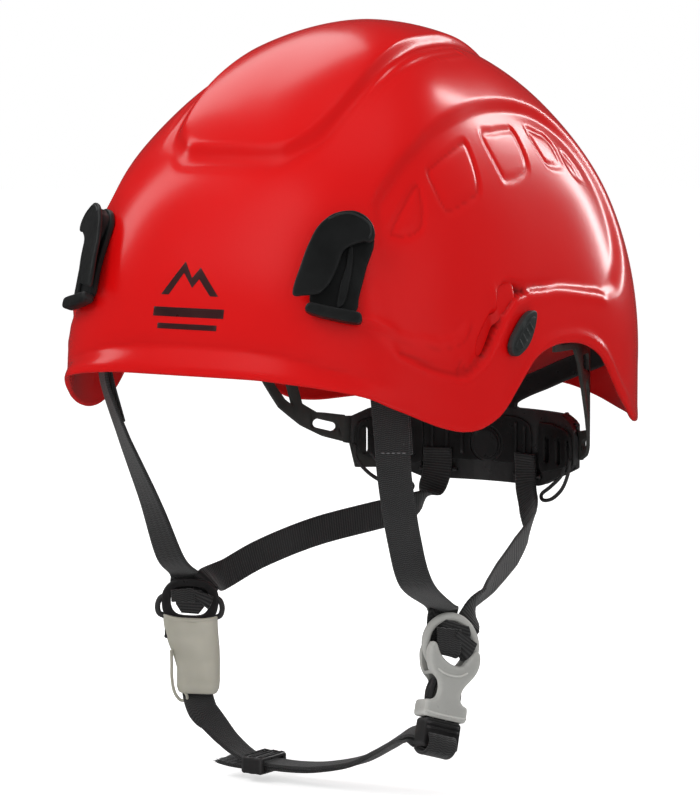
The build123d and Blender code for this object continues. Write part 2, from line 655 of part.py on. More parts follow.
# ---------------------------------------------------------------- side straps
# Stations: x, y, z of the centre, then x, y, z of the width direction.
FRONT_STRAPS = {
    1: [(78, -92, 9, 0.80, 0.60, 0), (77.6, -90.3, -1.5, 0.80, 0.60, 0),
        (77.3, -87.5, -18.5, 0.80, 0.60, 0), (77, -84.7, -36.8, 0.82, 0.57, 0),
        (76.3, -76, -64.8, 0.82, 0.57, 0), (75.6, -64.5, -86.5, 0.82, 0.57, 0),
        (74.6, -52.5, -103.0, 0.82, 0.57, 0)],
    -1: [(-78, -92, 9, 0.80, -0.60, 0), (-77.8, -91, 0.0, 0.80, -0.60, 0),
         (-77.3, -78, -27, 0.86, -0.5, 0), (-75.8, -59, -60.5, 0.95, -0.25, 0),
         (-74.6, -45.5, -88.0, 1, 0.1, 0), (-74.0, -40.5, -98.0, 0.95, 0.35, 0)]}
REAR_STRAPS = {
    1: [(33, 106, -78.5, 0.9, -0.45, 0.0), (41.7, 92, -80.0, 0.5, -0.5, 0.7),
        (50.0, 65, -87, 0.1, -0.2, 1), (62, 25, -95.5, 0.1, 0.25, 1),
        (71.5, -6, -101.5, 0.35, 0.5, 0.8), (73.6, -16.5, -104.5, 0.45, 0.55, 0.7)],
    -1: [(-30.5, 98, -77.5, 0, -0.1, 1), (-37, 82, -79.0, 0, -0.1, 1),
         (-53.5, 45, -85, 0, -0.1, 1), (-64.5, 15, -93, 0, -0.1, 1),
         (-70.5, -8, -101, -0.1, -0.3, 1), (-72, -17, -104.5, -0.1, -0.3, 1)]}


def rear_strap_tab(side):
    """Strap end at the yoke's lower slot."""
    angle = math.radians(TAB_SLOT_DEG)
    top = nape_point(91.2, side * TAB_SLOT_DEG, 0)
    across = (math.cos(angle), -side * math.sin(angle), 0)
    return ribbon([(top.X, top.Y, -52, *across), (top.X, top.Y, -60, *across),
                   (top.X * 1.06, top.Y - 1.5, -67.5, *across)])


def strap_anchor(side):
    """Hook plate between the front strap's top and the shell's inner wall."""
    plane = facing(Vector(side * 79.6, -94.2, 18), Vector(side * 0.60, -0.80, 0))
    plate = block(plane, (-9, 9), (-6.5, 9), (0.0, 2.2))
    lower_lip = block(plane, (-9, 9), (-8, -6), (-3.2, 2.2))
    upper_lip = block(plane, (-9, 9), (6.5, 9), (-3.2, 6.0))
    return largest(plate + lower_lip + upper_lip)


def hanging_plane(origin, upward, across):
    """Plane with y along upward and x nearest to across."""
    upward = upward.normalized()
    across = square_to(upward, across)
    return Plane(origin=origin, x_dir=across, z_dir=across.cross(upward))


def strap_loop(plane, ring_v, degrees, radius):
    """Square loop of webbing round a ring's bar, at an angle round the ring."""
    angle = math.radians(degrees)
    sine, cosine = math.sin(angle), math.cos(angle)
    origin = plane.from_local_coords(Vector(radius * cosine, ring_v + radius * sine, 0))
    along_bar = (plane.from_local_coords(Vector(-sine, cosine, 0))
                 - plane.from_local_coords(Vector(0, 0, 0)))
    frame = Plane(origin=origin, x_dir=along_bar, z_dir=plane.z_dir)
    outer = block(frame, (-4.4, 4.4), (-6.2, 4.2), (-3.3, 3.3))
    inner = block(frame, (-8, 8), (-5.0, 3.0), (-2.0, 2.0))
    return largest(outer - inner)


# ---------------------------------------------------------------- buckle (left)
# Origin at the bottom centre of the body; u runs to the rear, v up, t out.
BUCKLE = hanging_plane(Vector(74.8, -43.8, -150.8), Vector(-0.047, 0.36, 1.0),
                       Vector(0.445, 0.896, 0))
RING_V = 35.0
PRONG_U, PRONG_V = 5.6, -1.2    # centre of a prong's round root
# forked top of the body (u, v)
BUCKLE_FORK = [
    (-5.6, 19), (5.6, 19), (10.5, 24), (11.5, 31), (9.0, 33), (5.5, 28), (0, 26), (-6, 28),
    (-9.5, 34), (-12, 33), (-10.5, 24)]
# rear spring prong (u, v)
PRONG = [
    (4.9, -1.0), (6.3, -1.0), (7.7, 7.8), (7.9, 12.5), (6.5, 17.5), (4.6, 18.4), (4.4, 15.5),
    (5.9, 12.0), (6.0, 8.0)]


def buckle_body():
    body = block(BUCKLE, (-10.8, 10.8), (0, 7), (-5.2, 5.2))
    body = body + block(BUCKLE, (-5.6, 5.6), (6, 22), (-5.2, 5.2))
    body = body + slab(BUCKLE, BUCKLE_FORK, (-5, 5))
    # pocket for the tongue, then the slit for the ring
    body = body - block(BUCKLE, (-9.2, 9.2), (-1, 19.8), (-3.7, 3.7))
    body = body - block(BUCKLE, (-14, 14), (21.2, 40), (-1.75, 1.75))
    return largest(body)


def prong_root(end, radius, start, length):
    centre = BUCKLE.from_local_coords(Vector(end * PRONG_U, PRONG_V, start))
    return cylinder(centre, BUCKLE.z_dir, radius, length)


def buckle_tongue():
    """Base with a strap bar and a centre guide, socketed for the prongs."""
    tongue = block(BUCKLE, (-9.5, 9.5), (-13.5, -0.4), (-4.2, 4.2))
    tongue = tongue - block(BUCKLE, (-7.5, 7.5), (-10.6, -4.2), (-6, 2.4))
    tongue = tongue + block(BUCKLE, (-1.8, 1.8), (-1, 15.0), (-2.2, 2.2))
    for end in (1, -1):
        tongue = tongue - prong_root(end, 1.35, -6, 12)
        tongue = tongue - block(BUCKLE, mirrored(end, 4.55, 6.65), (PRONG_V, 0.2), (-6, 6))
    return largest(tongue)


def tongue_prong(end):
    arm = slab(BUCKLE, [(end * u, v) for u, v in PRONG], (-2.2, 2.2))
    return largest(prong_root(end, 1.25, -2.4, 4.8) + arm)


# ---------------------------------------------------------------- divider and sleeve (right)
# Origin at the centre of the divider's ring; v runs up.
DIVIDER = hanging_plane(Vector(-73.0, -31.7, -112.0), Vector(0.02, 0.05, 1.0),
                        Vector(0.833, 0.553, 0))
SLEEVE_OUTER = [(-13, -10), (13, -10), (13.5, -24), (12, -39), (7, -42), (-8, -41), (-11.5, -28)]
SLEEVE_INNER = [
    (-11.2, -8), (11.2, -8), (11.7, -24), (10.2, -38), (6, -46), (-6.5, -46), (-9.8, -28)]


def strap_divider():
    divider = annulus(DIVIDER, 0, 13.2, 9.4, 1.6)
    divider = divider + block(DIVIDER, (-9, 9), (-17, -9.5), (-1.6, 1.6))
    divider = divider - block(DIVIDER, (-6.5, 6.5), (-14.8, -12.4), (-4, 4))
    return largest(divider)


def strap_sleeve():
    sleeve = slab(DIVIDER, SLEEVE_OUTER, (-5.2, 5.2))
    return largest(sleeve - slab(DIVIDER, SLEEVE_INNER, (-3.6, 3.6)))


def sleeve_strap():
    """Webbing end inside the sleeve."""
    return block(DIVIDER, (-7.2, 7.2), (-39, -17.6), (-WEB_THICKNESS / 2, WEB_THICKNESS / 2))


# ---------------------------------------------------------------- chin strap and slider
# stations from right to left: x, y, z of the centre, x, y, z of the width direction
CHIN_STRAP = [
    (-67, -36, -159.5, 0.45, 0.88, 0.1), (-61.5, -31.5, -167, 0.25, 0.96, 0.1),
    (-54, -28, -175.8, 0.1, 0.99, 0.05), (-46.5, -26.2, -181.9, 0.05, 1, 0),
    (-39.5, -25.4, -184.9, 0, 1, 0), (-30.5, -25.05, -185.0, 0, 1, 0),
    (-18, -24.7, -185.1, 0, 1, 0), (-2, -24.7, -183.6, 0, 1, 0.03),
    (18.5, -26, -178.5, 0, 1, 0.08), (36, -29.5, -169.5, -0.05, 1, 0.12),
    (50, -35.5, -161.8, -0.1, 1, 0.2)]


def chin_slider():
    """Three-bar adjuster round the strap; u runs along the strap, v to the rear."""
    along = Vector(21.5, 0.7, -0.2).normalized()
    across = square_to(along, Vector(0, 1, 0))
    plane = Plane(origin=Vector(-35.0, -25.2, -185.0), x_dir=along, z_dir=along.cross(across))
    slider = block(plane, (-5.2, 5.2), (-10.5, 10.5), (-3.5, 3.5))
    slider = slider - block(plane, (-9, 9), (-8.3, 8.3), (-2.15, 2.15))
    for window in ((-3.8, -1.1), (1.1, 3.8)):
        slider = slider - block(plane, window, (-8.3, 8.3), (0, 6))
    return largest(slider)


# ---------------------------------------------------------------- build and export
os.makedirs("parts", exist_ok=True)

save("outer_shell", outer_shell())
for name, place in CLIPS.items():
    save("headlamp_clip_" + name, headlamp_clip(*place))

save("crown_liner", crown_liner())
save("cradle_strap_long", cradle_strap(0, 104, 110, 130.6))
save("cradle_strap_left", cradle_strap(CRADLE_ANGLE, 90, 90, 128.6))
save("cradle_strap_right", cradle_strap(-CRADLE_ANGLE, 90, 90, 126.6))
save("crown_pad", crown_pad())
save("headband", headband())
save("brow_pad", brow_pad())
save("suspension_keys", *suspension_keys())

save("nape_yoke", nape_yoke())
save("yoke_cover", yoke_cover())
save("cover_screws", *cover_screws())
save("adjuster_pinion", adjuster_pinion())
save("adjuster_knob", adjuster_knob())
save("knob_screw", knob_screw())
save("click_spring", *click_spring())

for side, name in SIDES:
    save("visor_plug_" + name, visor_plug(side))
    save("arm_" + name, nape_arm(side))
    save("tilt_stud_" + name, tilt_stud(side))
    save("rear_hanger_" + name, rear_hanger(side))
    save("front_strap_" + name, ribbon(FRONT_STRAPS[side]))
    save("rear_strap_" + name, ribbon(REAR_STRAPS[side]))
    save("rear_strap_tab_" + name, rear_strap_tab(side))
    save("strap_anchor_" + name, strap_anchor(side))

save("buckle_body", buckle_body())
save("strap_ring", annulus(BUCKLE, RING_V, 13.2, 9.6, 1.55))
save("buckle_tongue", buckle_tongue())
save("tongue_prong_rear", tongue_prong(1))
save("tongue_prong_front", tongue_prong(-1))
save("strap_loops_left", *[strap_loop(BUCKLE, RING_V, a, 11.4) for a in (128, 42)])

save("strap_divider", strap_divider())
save("strap_loops_right", *[strap_loop(DIVIDER, 0, a, 11.3) for a in (125, 48)])
save("strap_sleeve", strap_sleeve())
save("sleeve_strap", sleeve_strap())
save("chin_strap", ribbon(CHIN_STRAP, thickness=2.4))
save("chin_slider", chin_slider())
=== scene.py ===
"""A red helmet with headlamp clips, side plugs, inner cradle, nape yoke and chin harness.

The wearer faces -Y, the wearer's left is +X and up is +Z. The rim lies near z = 0 and the
harness hangs below it. Tables and sizes are in millimetres unless a comment says otherwise;
to_object scales them to metres. Shader distances, lights and the camera are in metres.
"""
import json
import math
from functools import partial

import bpy
import bmesh
import numpy as np
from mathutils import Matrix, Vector, geometry

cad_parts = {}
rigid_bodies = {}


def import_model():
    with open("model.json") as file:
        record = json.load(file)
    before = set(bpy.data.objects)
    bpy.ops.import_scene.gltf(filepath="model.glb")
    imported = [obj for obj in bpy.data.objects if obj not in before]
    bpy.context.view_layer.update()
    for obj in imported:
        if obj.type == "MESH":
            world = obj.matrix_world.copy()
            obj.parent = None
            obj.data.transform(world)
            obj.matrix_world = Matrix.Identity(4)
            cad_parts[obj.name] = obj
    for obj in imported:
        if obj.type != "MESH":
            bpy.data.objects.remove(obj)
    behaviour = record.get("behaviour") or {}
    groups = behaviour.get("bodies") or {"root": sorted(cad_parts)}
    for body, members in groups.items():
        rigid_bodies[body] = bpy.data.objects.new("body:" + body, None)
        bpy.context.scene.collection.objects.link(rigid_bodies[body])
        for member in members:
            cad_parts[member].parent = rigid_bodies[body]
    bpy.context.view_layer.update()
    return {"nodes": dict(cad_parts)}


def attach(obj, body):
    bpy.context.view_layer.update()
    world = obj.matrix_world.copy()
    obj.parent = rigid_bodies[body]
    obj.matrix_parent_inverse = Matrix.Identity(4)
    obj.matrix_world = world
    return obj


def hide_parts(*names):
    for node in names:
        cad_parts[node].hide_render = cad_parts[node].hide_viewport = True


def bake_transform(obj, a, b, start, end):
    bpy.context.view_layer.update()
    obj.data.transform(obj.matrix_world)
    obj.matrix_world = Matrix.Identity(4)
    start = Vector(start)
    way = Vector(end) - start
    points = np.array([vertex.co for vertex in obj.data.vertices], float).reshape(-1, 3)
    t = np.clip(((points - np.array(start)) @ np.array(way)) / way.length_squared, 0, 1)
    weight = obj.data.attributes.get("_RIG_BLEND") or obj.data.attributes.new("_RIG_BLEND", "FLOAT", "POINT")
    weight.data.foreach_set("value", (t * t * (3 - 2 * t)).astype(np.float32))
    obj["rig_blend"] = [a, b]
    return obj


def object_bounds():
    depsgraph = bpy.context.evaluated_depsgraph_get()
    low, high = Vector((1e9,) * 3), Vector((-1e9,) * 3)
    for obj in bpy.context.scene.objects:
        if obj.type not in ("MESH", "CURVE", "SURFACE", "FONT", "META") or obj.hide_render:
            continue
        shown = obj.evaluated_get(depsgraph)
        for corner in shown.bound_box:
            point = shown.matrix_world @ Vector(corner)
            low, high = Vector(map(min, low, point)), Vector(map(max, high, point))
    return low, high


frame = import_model()
MM = 0.001
SIDES = ((1, "left"), (-1, "right"))


# ------------------------------------------------------------------ shader graphs
class Graph:
    """Short ways to add and wire shader nodes in one tree."""

    def __init__(self, tree):
        self.tree = tree

    def feed(self, node, inputs):
        """Links each input to a socket, or sets it to a plain value."""
        for key, value in inputs.items():
            if isinstance(value, bpy.types.NodeSocket):
                self.tree.links.new(value, node.inputs[key])
            else:
                node.inputs[key].default_value = value

    def node(self, kind, inputs=None):
        node = self.tree.nodes.new("ShaderNode" + kind)
        self.feed(node, inputs or {})
        return node

    def math(self, operation, first, second=None):
        node = self.node("Math")
        node.operation = operation
        self.feed(node, {0: first} if second is None else {0: first, 1: second})
        return node.outputs[0]

    def map_range(self, value, low, high, from_low=0.0, from_high=1.0):
        node = self.node("MapRange", {"From Min": from_low, "From Max": from_high,
                                      "To Min": low, "To Max": high, "Value": value})
        return node.outputs["Result"]


class Surface(Graph):
    """A material built round its Principled BSDF."""

    def __init__(self, name, base, rough):
        self.material = bpy.data.materials.new(name)
        self.material.use_nodes = True
        super().__init__(self.material.node_tree)
        self.principled = self.tree.nodes["Principled BSDF"]
        self.set({"Base Color": (*base, 1), "Roughness": rough})

    def set(self, inputs):
        self.feed(self.principled, inputs)

    def coords(self):
        source = self.node("TexCoord").outputs["Object"]
        return self.node("Mapping", {"Scale": (1, 1, 1), "Vector": source}).outputs["Vector"]

    def noise(self, scale, detail=3.0, rough=0.5, vector=None):
        node = self.node("TexNoise", {"Scale": scale, "Detail": detail, "Roughness": rough})
        self.feed(node, {"Vector": vector or self.coords()})
        return node.outputs["Fac"]

    def cells(self, scale):
        node = self.node("TexVoronoi", {"Scale": scale})
        self.feed(node, {"Vector": self.coords()})
        return node.outputs["Distance"]

    def ramp(self, factor, stops):
        """Colour ramp from (position, rgb) stops."""
        node = self.node("ValToRGB", {"Fac": factor})
        elements = node.color_ramp.elements
        while len(elements) > 1:
            elements.remove(elements[-1])
        elements[0].position, elements[0].color = stops[0][0], (*stops[0][1], 1)
        for position, color in stops[1:]:
            elements.new(position).color = (*color, 1)
        return node.outputs["Color"]

    def mix(self, factor, first, second):
        """Mixes two colours; the second is a plain rgb."""
        node = self.node("Mix")
        node.data_type = "RGBA"
        self.feed(node, {0: factor, 6: first, 7: (*second, 1)})
        return node.outputs[2]

    def bump(self, height, distance, strength=1.0, under=None):
        """Bump on the surface normal, laid over an earlier bump where one is given."""
        node = self.node("Bump", {"Distance": distance, "Strength": strength, "Height": height})
        if under is not None:
            self.feed(node, {"Normal": under})
        self.set({"Normal": node.outputs["Normal"]})
        return node.outputs["Normal"]

    def edge_highlight_mask(self):
        """1 on convex edges, 0 elsewhere; the plastics use it to paint highlights on their edges."""
        geometry_node = self.node("NewGeometry")
        return self.map_range(geometry_node.outputs["Pointiness"], 0, 1, 0.505, 0.56)


def scaled(color, factor, lift=0.0):
    return tuple(min(1, c * factor + lift) for c in color)


# ------------------------------------------------------------------ materials
def shell_material():
    """Glossy red, with painted shade that darkens the colour in the grooves, slots and creases of the
    relief.
    """
    s = Surface("shell_red_gloss", base=(0.66, 0.010, 0.014), rough=0.22)
    cloud = s.noise(9, detail=2)
    red = s.ramp(cloud, [(0.3, (0.61, 0.0032, 0.0034)), (0.7, (0.66, 0.0040, 0.0044))])
    groove_shade = s.node("Attribute")
    groove_shade.attribute_name = "groove_shade"
    # painted shade: the red is mixed towards near-black where the attribute marks a recess
    s.set({"Base Color": s.mix(groove_shade.outputs["Fac"], red, (0.13, 0.002, 0.002))})
    fine = s.noise(260, rough=0.6)
    smear = s.noise(38, detail=4, rough=0.55)
    s.set({"Roughness": s.math("ADD", s.map_range(fine, 0.20, 0.235),
                               s.map_range(smear, -0.012, 0.02, 0.2, 0.85))})
    s.bump(s.noise(420, detail=2), distance=0.000008, strength=0.2)
    s.set({"Coat Weight": 0.15, "Coat Roughness": 0.13, "Specular IOR Level": 0.42,
           "Subsurface Weight": 0.0, "Subsurface Radius": (0.004, 0.0008, 0.0006)})
    return s.material


def plastic(name, base, rough, grain, scale, variation=0.25, coat=0.0, edge=0.35):
    """Fine-grained plastic: grain is the bump depth, edge how far convex edges lighten as a painted
    highlight.
    """
    s = Surface(name, base, rough)
    color = s.ramp(s.noise(60, detail=4, rough=0.55),
                   [(0.3, scaled(base, 1 - variation)), (0.7, scaled(base, 1 + variation, 0.002))])
    # painted highlight: convex edges mix towards a brighter copy of the base colour
    edges = s.math("MULTIPLY", s.edge_highlight_mask(), edge)
    s.set({"Base Color": s.mix(edges, color, scaled(base, 2.2, 0.03))})
    s.set({"Roughness": s.map_range(s.noise(300, rough=0.6), rough - 0.08, rough + 0.1, 0.3, 0.7)})
    fine = s.bump(s.noise(scale, detail=2, rough=0.6), grain, strength=0.5)
    s.bump(s.noise(90, detail=2), grain * 1.6, strength=0.35, under=fine)
    s.set({"Coat Weight": coat, "Coat Roughness": 0.15})
    return s.material


def webbing_material(name, base, rib, twill):
    """Woven tape with UV in millimetres, u across and v along.

    rib is the row pitch; twill slants the rows, with the slant flipping across the width."""
    flip_width, column_pitch = 1.65, 0.72
    s = Surface(name, base, rough=0.72)
    uv = s.node("UVMap").outputs["UV"]
    split = s.node("SeparateXYZ", {0: uv})
    across, along = split.outputs[0], split.outputs[1]
    # slightly wandering yarns
    wander = s.math("MULTIPLY", s.math("SUBTRACT", s.noise(300, detail=2), 0.5), 0.5)
    across = s.math("ADD", across, wander)
    flip = s.math("PINGPONG", across, flip_width)
    phase = s.math("ADD", s.math("MULTIPLY", along, 2 * math.pi / rib),
                   s.math("MULTIPLY", flip, twill))

    def wave(angle):
        return s.math("ADD", s.math("MULTIPLY", s.math("SINE", angle), 0.5), 0.5)
    rows = wave(phase)
    columns = wave(s.math("MULTIPLY", across, 2 * math.pi / column_pitch))
    weave = s.math("ADD", s.math("MULTIPLY", rows, 0.7), s.math("MULTIPLY", columns, 0.3))
    fuzz = s.noise(2600, rough=0.7)
    tone = s.math("ADD", s.math("MULTIPLY", weave, 0.75), s.math("MULTIPLY", fuzz, 0.25))
    color = s.ramp(tone, [(0.15, scaled(base, 0.35)), (0.55, base), (0.9, scaled(base, 1.75))])
    wear = s.map_range(s.noise(22, detail=4, rough=0.6), 0.0, 0.30, 0.45, 0.75)
    s.set({"Base Color": s.mix(wear, color, scaled(base, 1.9))})
    woven = s.bump(weave, distance=0.00022, strength=0.9)
    s.bump(fuzz, distance=0.00008, strength=0.5, under=woven)
    s.set({"Sheen Weight": 0.25, "Sheen Roughness": 0.4, "Specular IOR Level": 0.35})
    return s.material


def pad_material():
    s = Surface("pad_knit", base=(0.03, 0.03, 0.032), rough=0.9)
    knit = s.cells(900)
    s.set({"Base Color": s.ramp(s.noise(400, detail=4, rough=0.7),
                                [(0.3, (0.018, 0.018, 0.019)), (0.7, (0.05, 0.05, 0.052))])})
    knitted = s.bump(knit, distance=0.0004, strength=0.7)
    s.bump(s.noise(60), distance=0.0006, strength=0.4, under=knitted)
    s.set({"Sheen Weight": 0.5})
    return s.material


def foam_material():
    s = Surface("liner_foam", base=(0.085, 0.085, 0.085), rough=0.85)
    beads = s.cells(330)
    s.set({"Base Color": s.ramp(beads, [(0.0, (0.11, 0.11, 0.11)),
                                        (0.7, (0.055, 0.055, 0.055))])})
    s.bump(s.math("MULTIPLY", beads, -1.0), distance=0.0005, strength=0.6)
    return s.material


def sleeve_material():
    s = Surface("sleeve_milky", base=(0.38, 0.37, 0.32), rough=0.32)
    s.set({"Base Color": s.ramp(s.noise(28), [(0.3, (0.47, 0.455, 0.385)),
                                              (0.7, (0.72, 0.70, 0.61))])})
    s.set({"Subsurface Weight": 0.7, "Subsurface Radius": (0.006, 0.006, 0.005),
           "Transmission Weight": 0.25, "IOR": 1.42, "Coat Weight": 0.3, "Coat Roughness": 0.2})
    s.bump(s.noise(120), distance=0.0002, strength=0.4)
    return s.material


def steel_material():
    """Steel with a grain stretched along one axis."""
    rough = 0.28
    s = Surface("steel_bright", base=(0.62, 0.62, 0.63), rough=rough)
    s.set({"Metallic": 1.0})
    stretched = s.node("Mapping", {"Scale": (1, 14, 1), "Vector": s.coords()})
    grain = s.noise(700, rough=0.6, vector=stretched.outputs["Vector"])
    s.set({"Roughness": s.map_range(grain, rough - 0.08, rough + 0.15)})
    s.bump(grain, distance=0.00003, strength=0.4)
    return s.material


MATERIALS = {
    "shell": shell_material(),
    "clip": plastic("clip_nylon", (0.0085, 0.0092, 0.0094), rough=0.42, grain=0.00004, scale=2000),
    "plug": plastic("plug_slate", (0.020, 0.023, 0.023), rough=0.5, grain=0.00004, scale=2400),
    "mark": plastic("mark_print", (0.035, 0.008, 0.009), rough=0.35, grain=0.00001, scale=1500),
    # a light version of the print, which no piece wears
    "mark_light": plastic("mark_print_light", (0.62, 0.62, 0.60), rough=0.4, grain=0.00001,
                          scale=1500),
    "web": webbing_material("webbing_weave", (0.031, 0.031, 0.0315), rib=0.95, twill=2.2),
    "web_ribbed": webbing_material("webbing_ribbed", (0.030, 0.030, 0.0305), rib=1.35, twill=0.0),
    "thread": plastic("thread_grey", (0.11, 0.11, 0.115), rough=0.7, grain=0.00006, scale=3000),
    # edge=0.75 paints strong highlights on the black plastic's edges
    "black": plastic("plastic_black_fine", (0.0105, 0.0100, 0.0104), rough=0.34, grain=0.00005,
                     scale=1500, coat=0.15, edge=0.75),
    "graphite": plastic("plastic_graphite_fine", (0.034, 0.034, 0.031), rough=0.42,
                        grain=0.00005, scale=1500),
    "grey": plastic("plastic_grey_satin", (0.37, 0.37, 0.35), rough=0.34, grain=0.00004,
                    scale=1300, variation=0.06, coat=0.15),
    "sleeve": sleeve_material(),
    "pad": pad_material(),
    "foam": foam_material(),
    "steel": steel_material(),
}


# ------------------------------------------------------------------ numbers and curves
def unit(vector):
    vector = np.asarray(vector, float)
    return vector / max(1e-12, np.linalg.norm(vector))


def square_to(vector, axis):
    """The part of vector at right angles to a unit axis, made unit length."""
    vector = np.asarray(vector, float)
    return unit(vector - axis * (vector @ axis))


def smooth(value):
    value = np.clip(value, 0, 1)
    return value * value * (3 - 2 * value)


def rise(value, start, span):
    """0 up to start, 1 from start + span, smooth between."""
    return smooth((value - start) / span)


def fall(value, start, span):
    return 1 - rise(value, start, span)


def ridge(distance, width):
    return np.exp(-(distance / width) ** 2)


def signed_power(value, exponent):
    return np.sign(value) * np.abs(value) ** exponent


def turn(count):
    """Even angles round one full turn."""
    return np.linspace(0, 2 * math.pi, count + 1)[:-1]


def catmull(points, step, closed=False):
    """Catmull-Rom curve through the points, resampled at an even spacing near step."""
    p = np.asarray(points, float)
    count = len(p)
    curve = []
    for i in range(count if closed else count - 1):
        if closed:
            a, b, c, d = p[(i - 1) % count], p[i], p[(i + 1) % count], p[(i + 2) % count]
        else:
            b, c = p[i], p[i + 1]
            a = p[i - 1] if i > 0 else 2 * b - c
            d = p[i + 2] if i + 2 < count else 2 * c - b
        for k in range(16):
            t = k / 16
            curve.append(0.5 * ((2 * b) + (-a + c) * t + (2 * a - 5 * b + 4 * c - d) * t * t
                                + (-a + 3 * b - 3 * c + d) * t ** 3))
    curve.append(p[0] if closed else p[-1])
    curve = np.array(curve)
    length = np.r_[0, np.cumsum(np.linalg.norm(np.diff(curve, axis=0), axis=1))]
    pieces = max(4, int(round(length[-1] / step)))
    even = np.linspace(0, length[-1], pieces + 1)
    result = np.stack([np.interp(even, length, column) for column in curve.T], 1)
    return result[:-1] if closed else result


def dense(points, step):
    """Closed polygon with its straight sides divided near step."""
    p = np.asarray(points, float)
    result = []
    for i in range(len(p)):
        a, b = p[i], p[(i + 1) % len(p)]
        pieces = max(1, int(np.linalg.norm(b - a) / step))
        result += [a + (b - a) * j / pieces for j in range(pieces)]
    return np.array(result)


def offset_line(line, distance):
    """Smooth line moved to its left by distance."""
    curve = catmull(line, 1.5)
    tangent = np.gradient(curve, axis=0)
    tangent /= np.linalg.norm(tangent, axis=1)[:, None]
    return curve + np.c_[-tangent[:, 1], tangent[:, 0]] * distance


def line_distance(points, line, closed=False):
    line = np.asarray(line, float)
    ends = np.roll(line, -1, 0) if closed else line[1:]
    starts = line if closed else line[:-1]
    best = np.full(len(points), 1e9)
    for start, end in zip(starts, ends):
        run = end - start
        t = np.clip(((points - start) @ run) / max(1e-9, run @ run), 0, 1)
        best = np.minimum(best, np.linalg.norm(points - (start + t[:, None] * run), axis=1))
    return best


def inside(points, polygon):
    polygon = np.asarray(polygon, float)
    result = np.zeros(len(points), bool)
    x, y = points[:, 0], points[:, 1]
    for (x1, y1), (x2, y2) in zip(polygon, np.roll(polygon, -1, 0)):
        if y1 == y2:
            continue
        result ^= ((y1 > y) != (y2 > y)) & (x < (x2 - x1) * (y - y1) / (y2 - y1) + x1)
    return result


def signed_depth(points, polygon):
    """Distance to the polygon's edge, positive inside it."""
    distance = line_distance(points, polygon, True)
    return np.where(inside(points, polygon), distance, -distance)


def blend_between(points, outer, inner):
    """0 outside the outer polygon, 1 inside the inner one, graded between."""
    to_outer = line_distance(points, outer, True)
    to_inner = line_distance(points, inner, True)
    graded = to_outer / np.maximum(1e-6, to_outer + to_inner)
    return np.where(inside(points, inner), 1.0, np.where(inside(points, outer), graded, 0.0))


def signed_area(loop):
    x, y = loop[:, 0], loop[:, 1]
    return 0.5 * np.sum(x * np.roll(y, -1) - np.roll(x, -1) * y)


def inward_normals(loop):
    """Normals of a loop whose material lies on its left."""
    tangent = np.roll(loop, -1, 0) - np.roll(loop, 1, 0)
    tangent /= np.maximum(1e-9, np.linalg.norm(tangent, axis=1))[:, None]
    return np.c_[-tangent[:, 1], tangent[:, 0]]


def obround(centre_u, centre_v, length, width, degrees=0.0):
    """Slot outline with round ends, turned by degrees."""
    cos, sin = math.cos(math.radians(degrees)), math.sin(math.radians(degrees))
    result = []
    for end in (1, -1):
        for k in range(10):
            angle = -math.pi / 2 + math.pi * k / 9
            x = end * ((length - width) / 2 + width / 2 * math.cos(angle))
            y = end * (width / 2 * math.sin(angle))
            result.append((centre_u + x * cos - y * sin, centre_v + x * sin + y * cos))
    return result


def rectangle(left, right, low, high):
    return [(left, low), (right, low), (right, high), (left, high)]


class Frame:
    """Local frame of a flat part: unit axes across and along it, and out of its face."""

    def __init__(self, origin, across, along):
        self.origin = np.asarray(origin, float)
        self.across, self.along = across, along
        self.out = np.cross(across, along)

    def at(self, across, along, out=0.0):
        return self.origin + self.across * across + self.along * along + self.out * out

    def place(self, points):
        return self.at(points[:, :1], points[:, 1:2], points[:, 2:3])


# ------------------------------------------------------------------ mesh helpers
def shade_smooth(mesh):
    mesh.polygons.foreach_set("use_smooth", [True] * len(mesh.polygons))


def to_object(name, verts, faces, material, uvs=None):
    """Makes a smooth object from millimetre vertices, with one UV per vertex if given."""
    mesh = bpy.data.meshes.new(name)
    mesh.from_pydata([tuple(float(c) * MM for c in v) for v in verts], [],
                     [tuple(int(i) for i in f) for f in faces])
    mesh.update()
    if uvs is not None:
        layer = mesh.uv_layers.new(name="UVMap")
        corners = np.zeros(len(mesh.loops), np.int32)
        mesh.loops.foreach_get("vertex_index", corners)
        layer.data.foreach_set("uv", np.asarray(uvs, np.float32)[corners].ravel())
    shade_smooth(mesh)
    mesh.materials.append(MATERIALS[material])
    obj = bpy.data.objects.new(name, mesh)
    bpy.context.scene.collection.objects.link(obj)
    return obj


def fix_normals(obj, weld=False, drop_loose=False):
    """Turns the faces outward, after welding doubles or dropping loose points if asked."""
    bm = bmesh.new()
    bm.from_mesh(obj.data)
    if weld:
        bmesh.ops.remove_doubles(bm, verts=bm.verts, dist=0.00001)
        bmesh.ops.dissolve_degenerate(bm, dist=0.000005, edges=bm.edges)
    if drop_loose:
        loose = [v for v in bm.verts if not v.link_faces]
        bmesh.ops.delete(bm, geom=loose, context="VERTS")
    bmesh.ops.recalc_face_normals(bm, faces=bm.faces)
    bm.to_mesh(obj.data)
    bm.free()
    return obj


def own(obj, body, slot, *nodes):
    """Fixes a piece to its body and hides the CAD nodes it stands for; slot is not used."""
    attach(obj, body)
    if nodes:
        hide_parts(*nodes)
    return obj


def ring_edges(start, count):
    return [(start + k, start + (k + 1) % count) for k in range(count)]


def band_faces(rings, count, start=0):
    """Quads between successive closed rings of count points."""
    return [(a, b, b + count, a + count) for i in range(rings - 1)
            for a, b in ring_edges(start + i * count, count)]


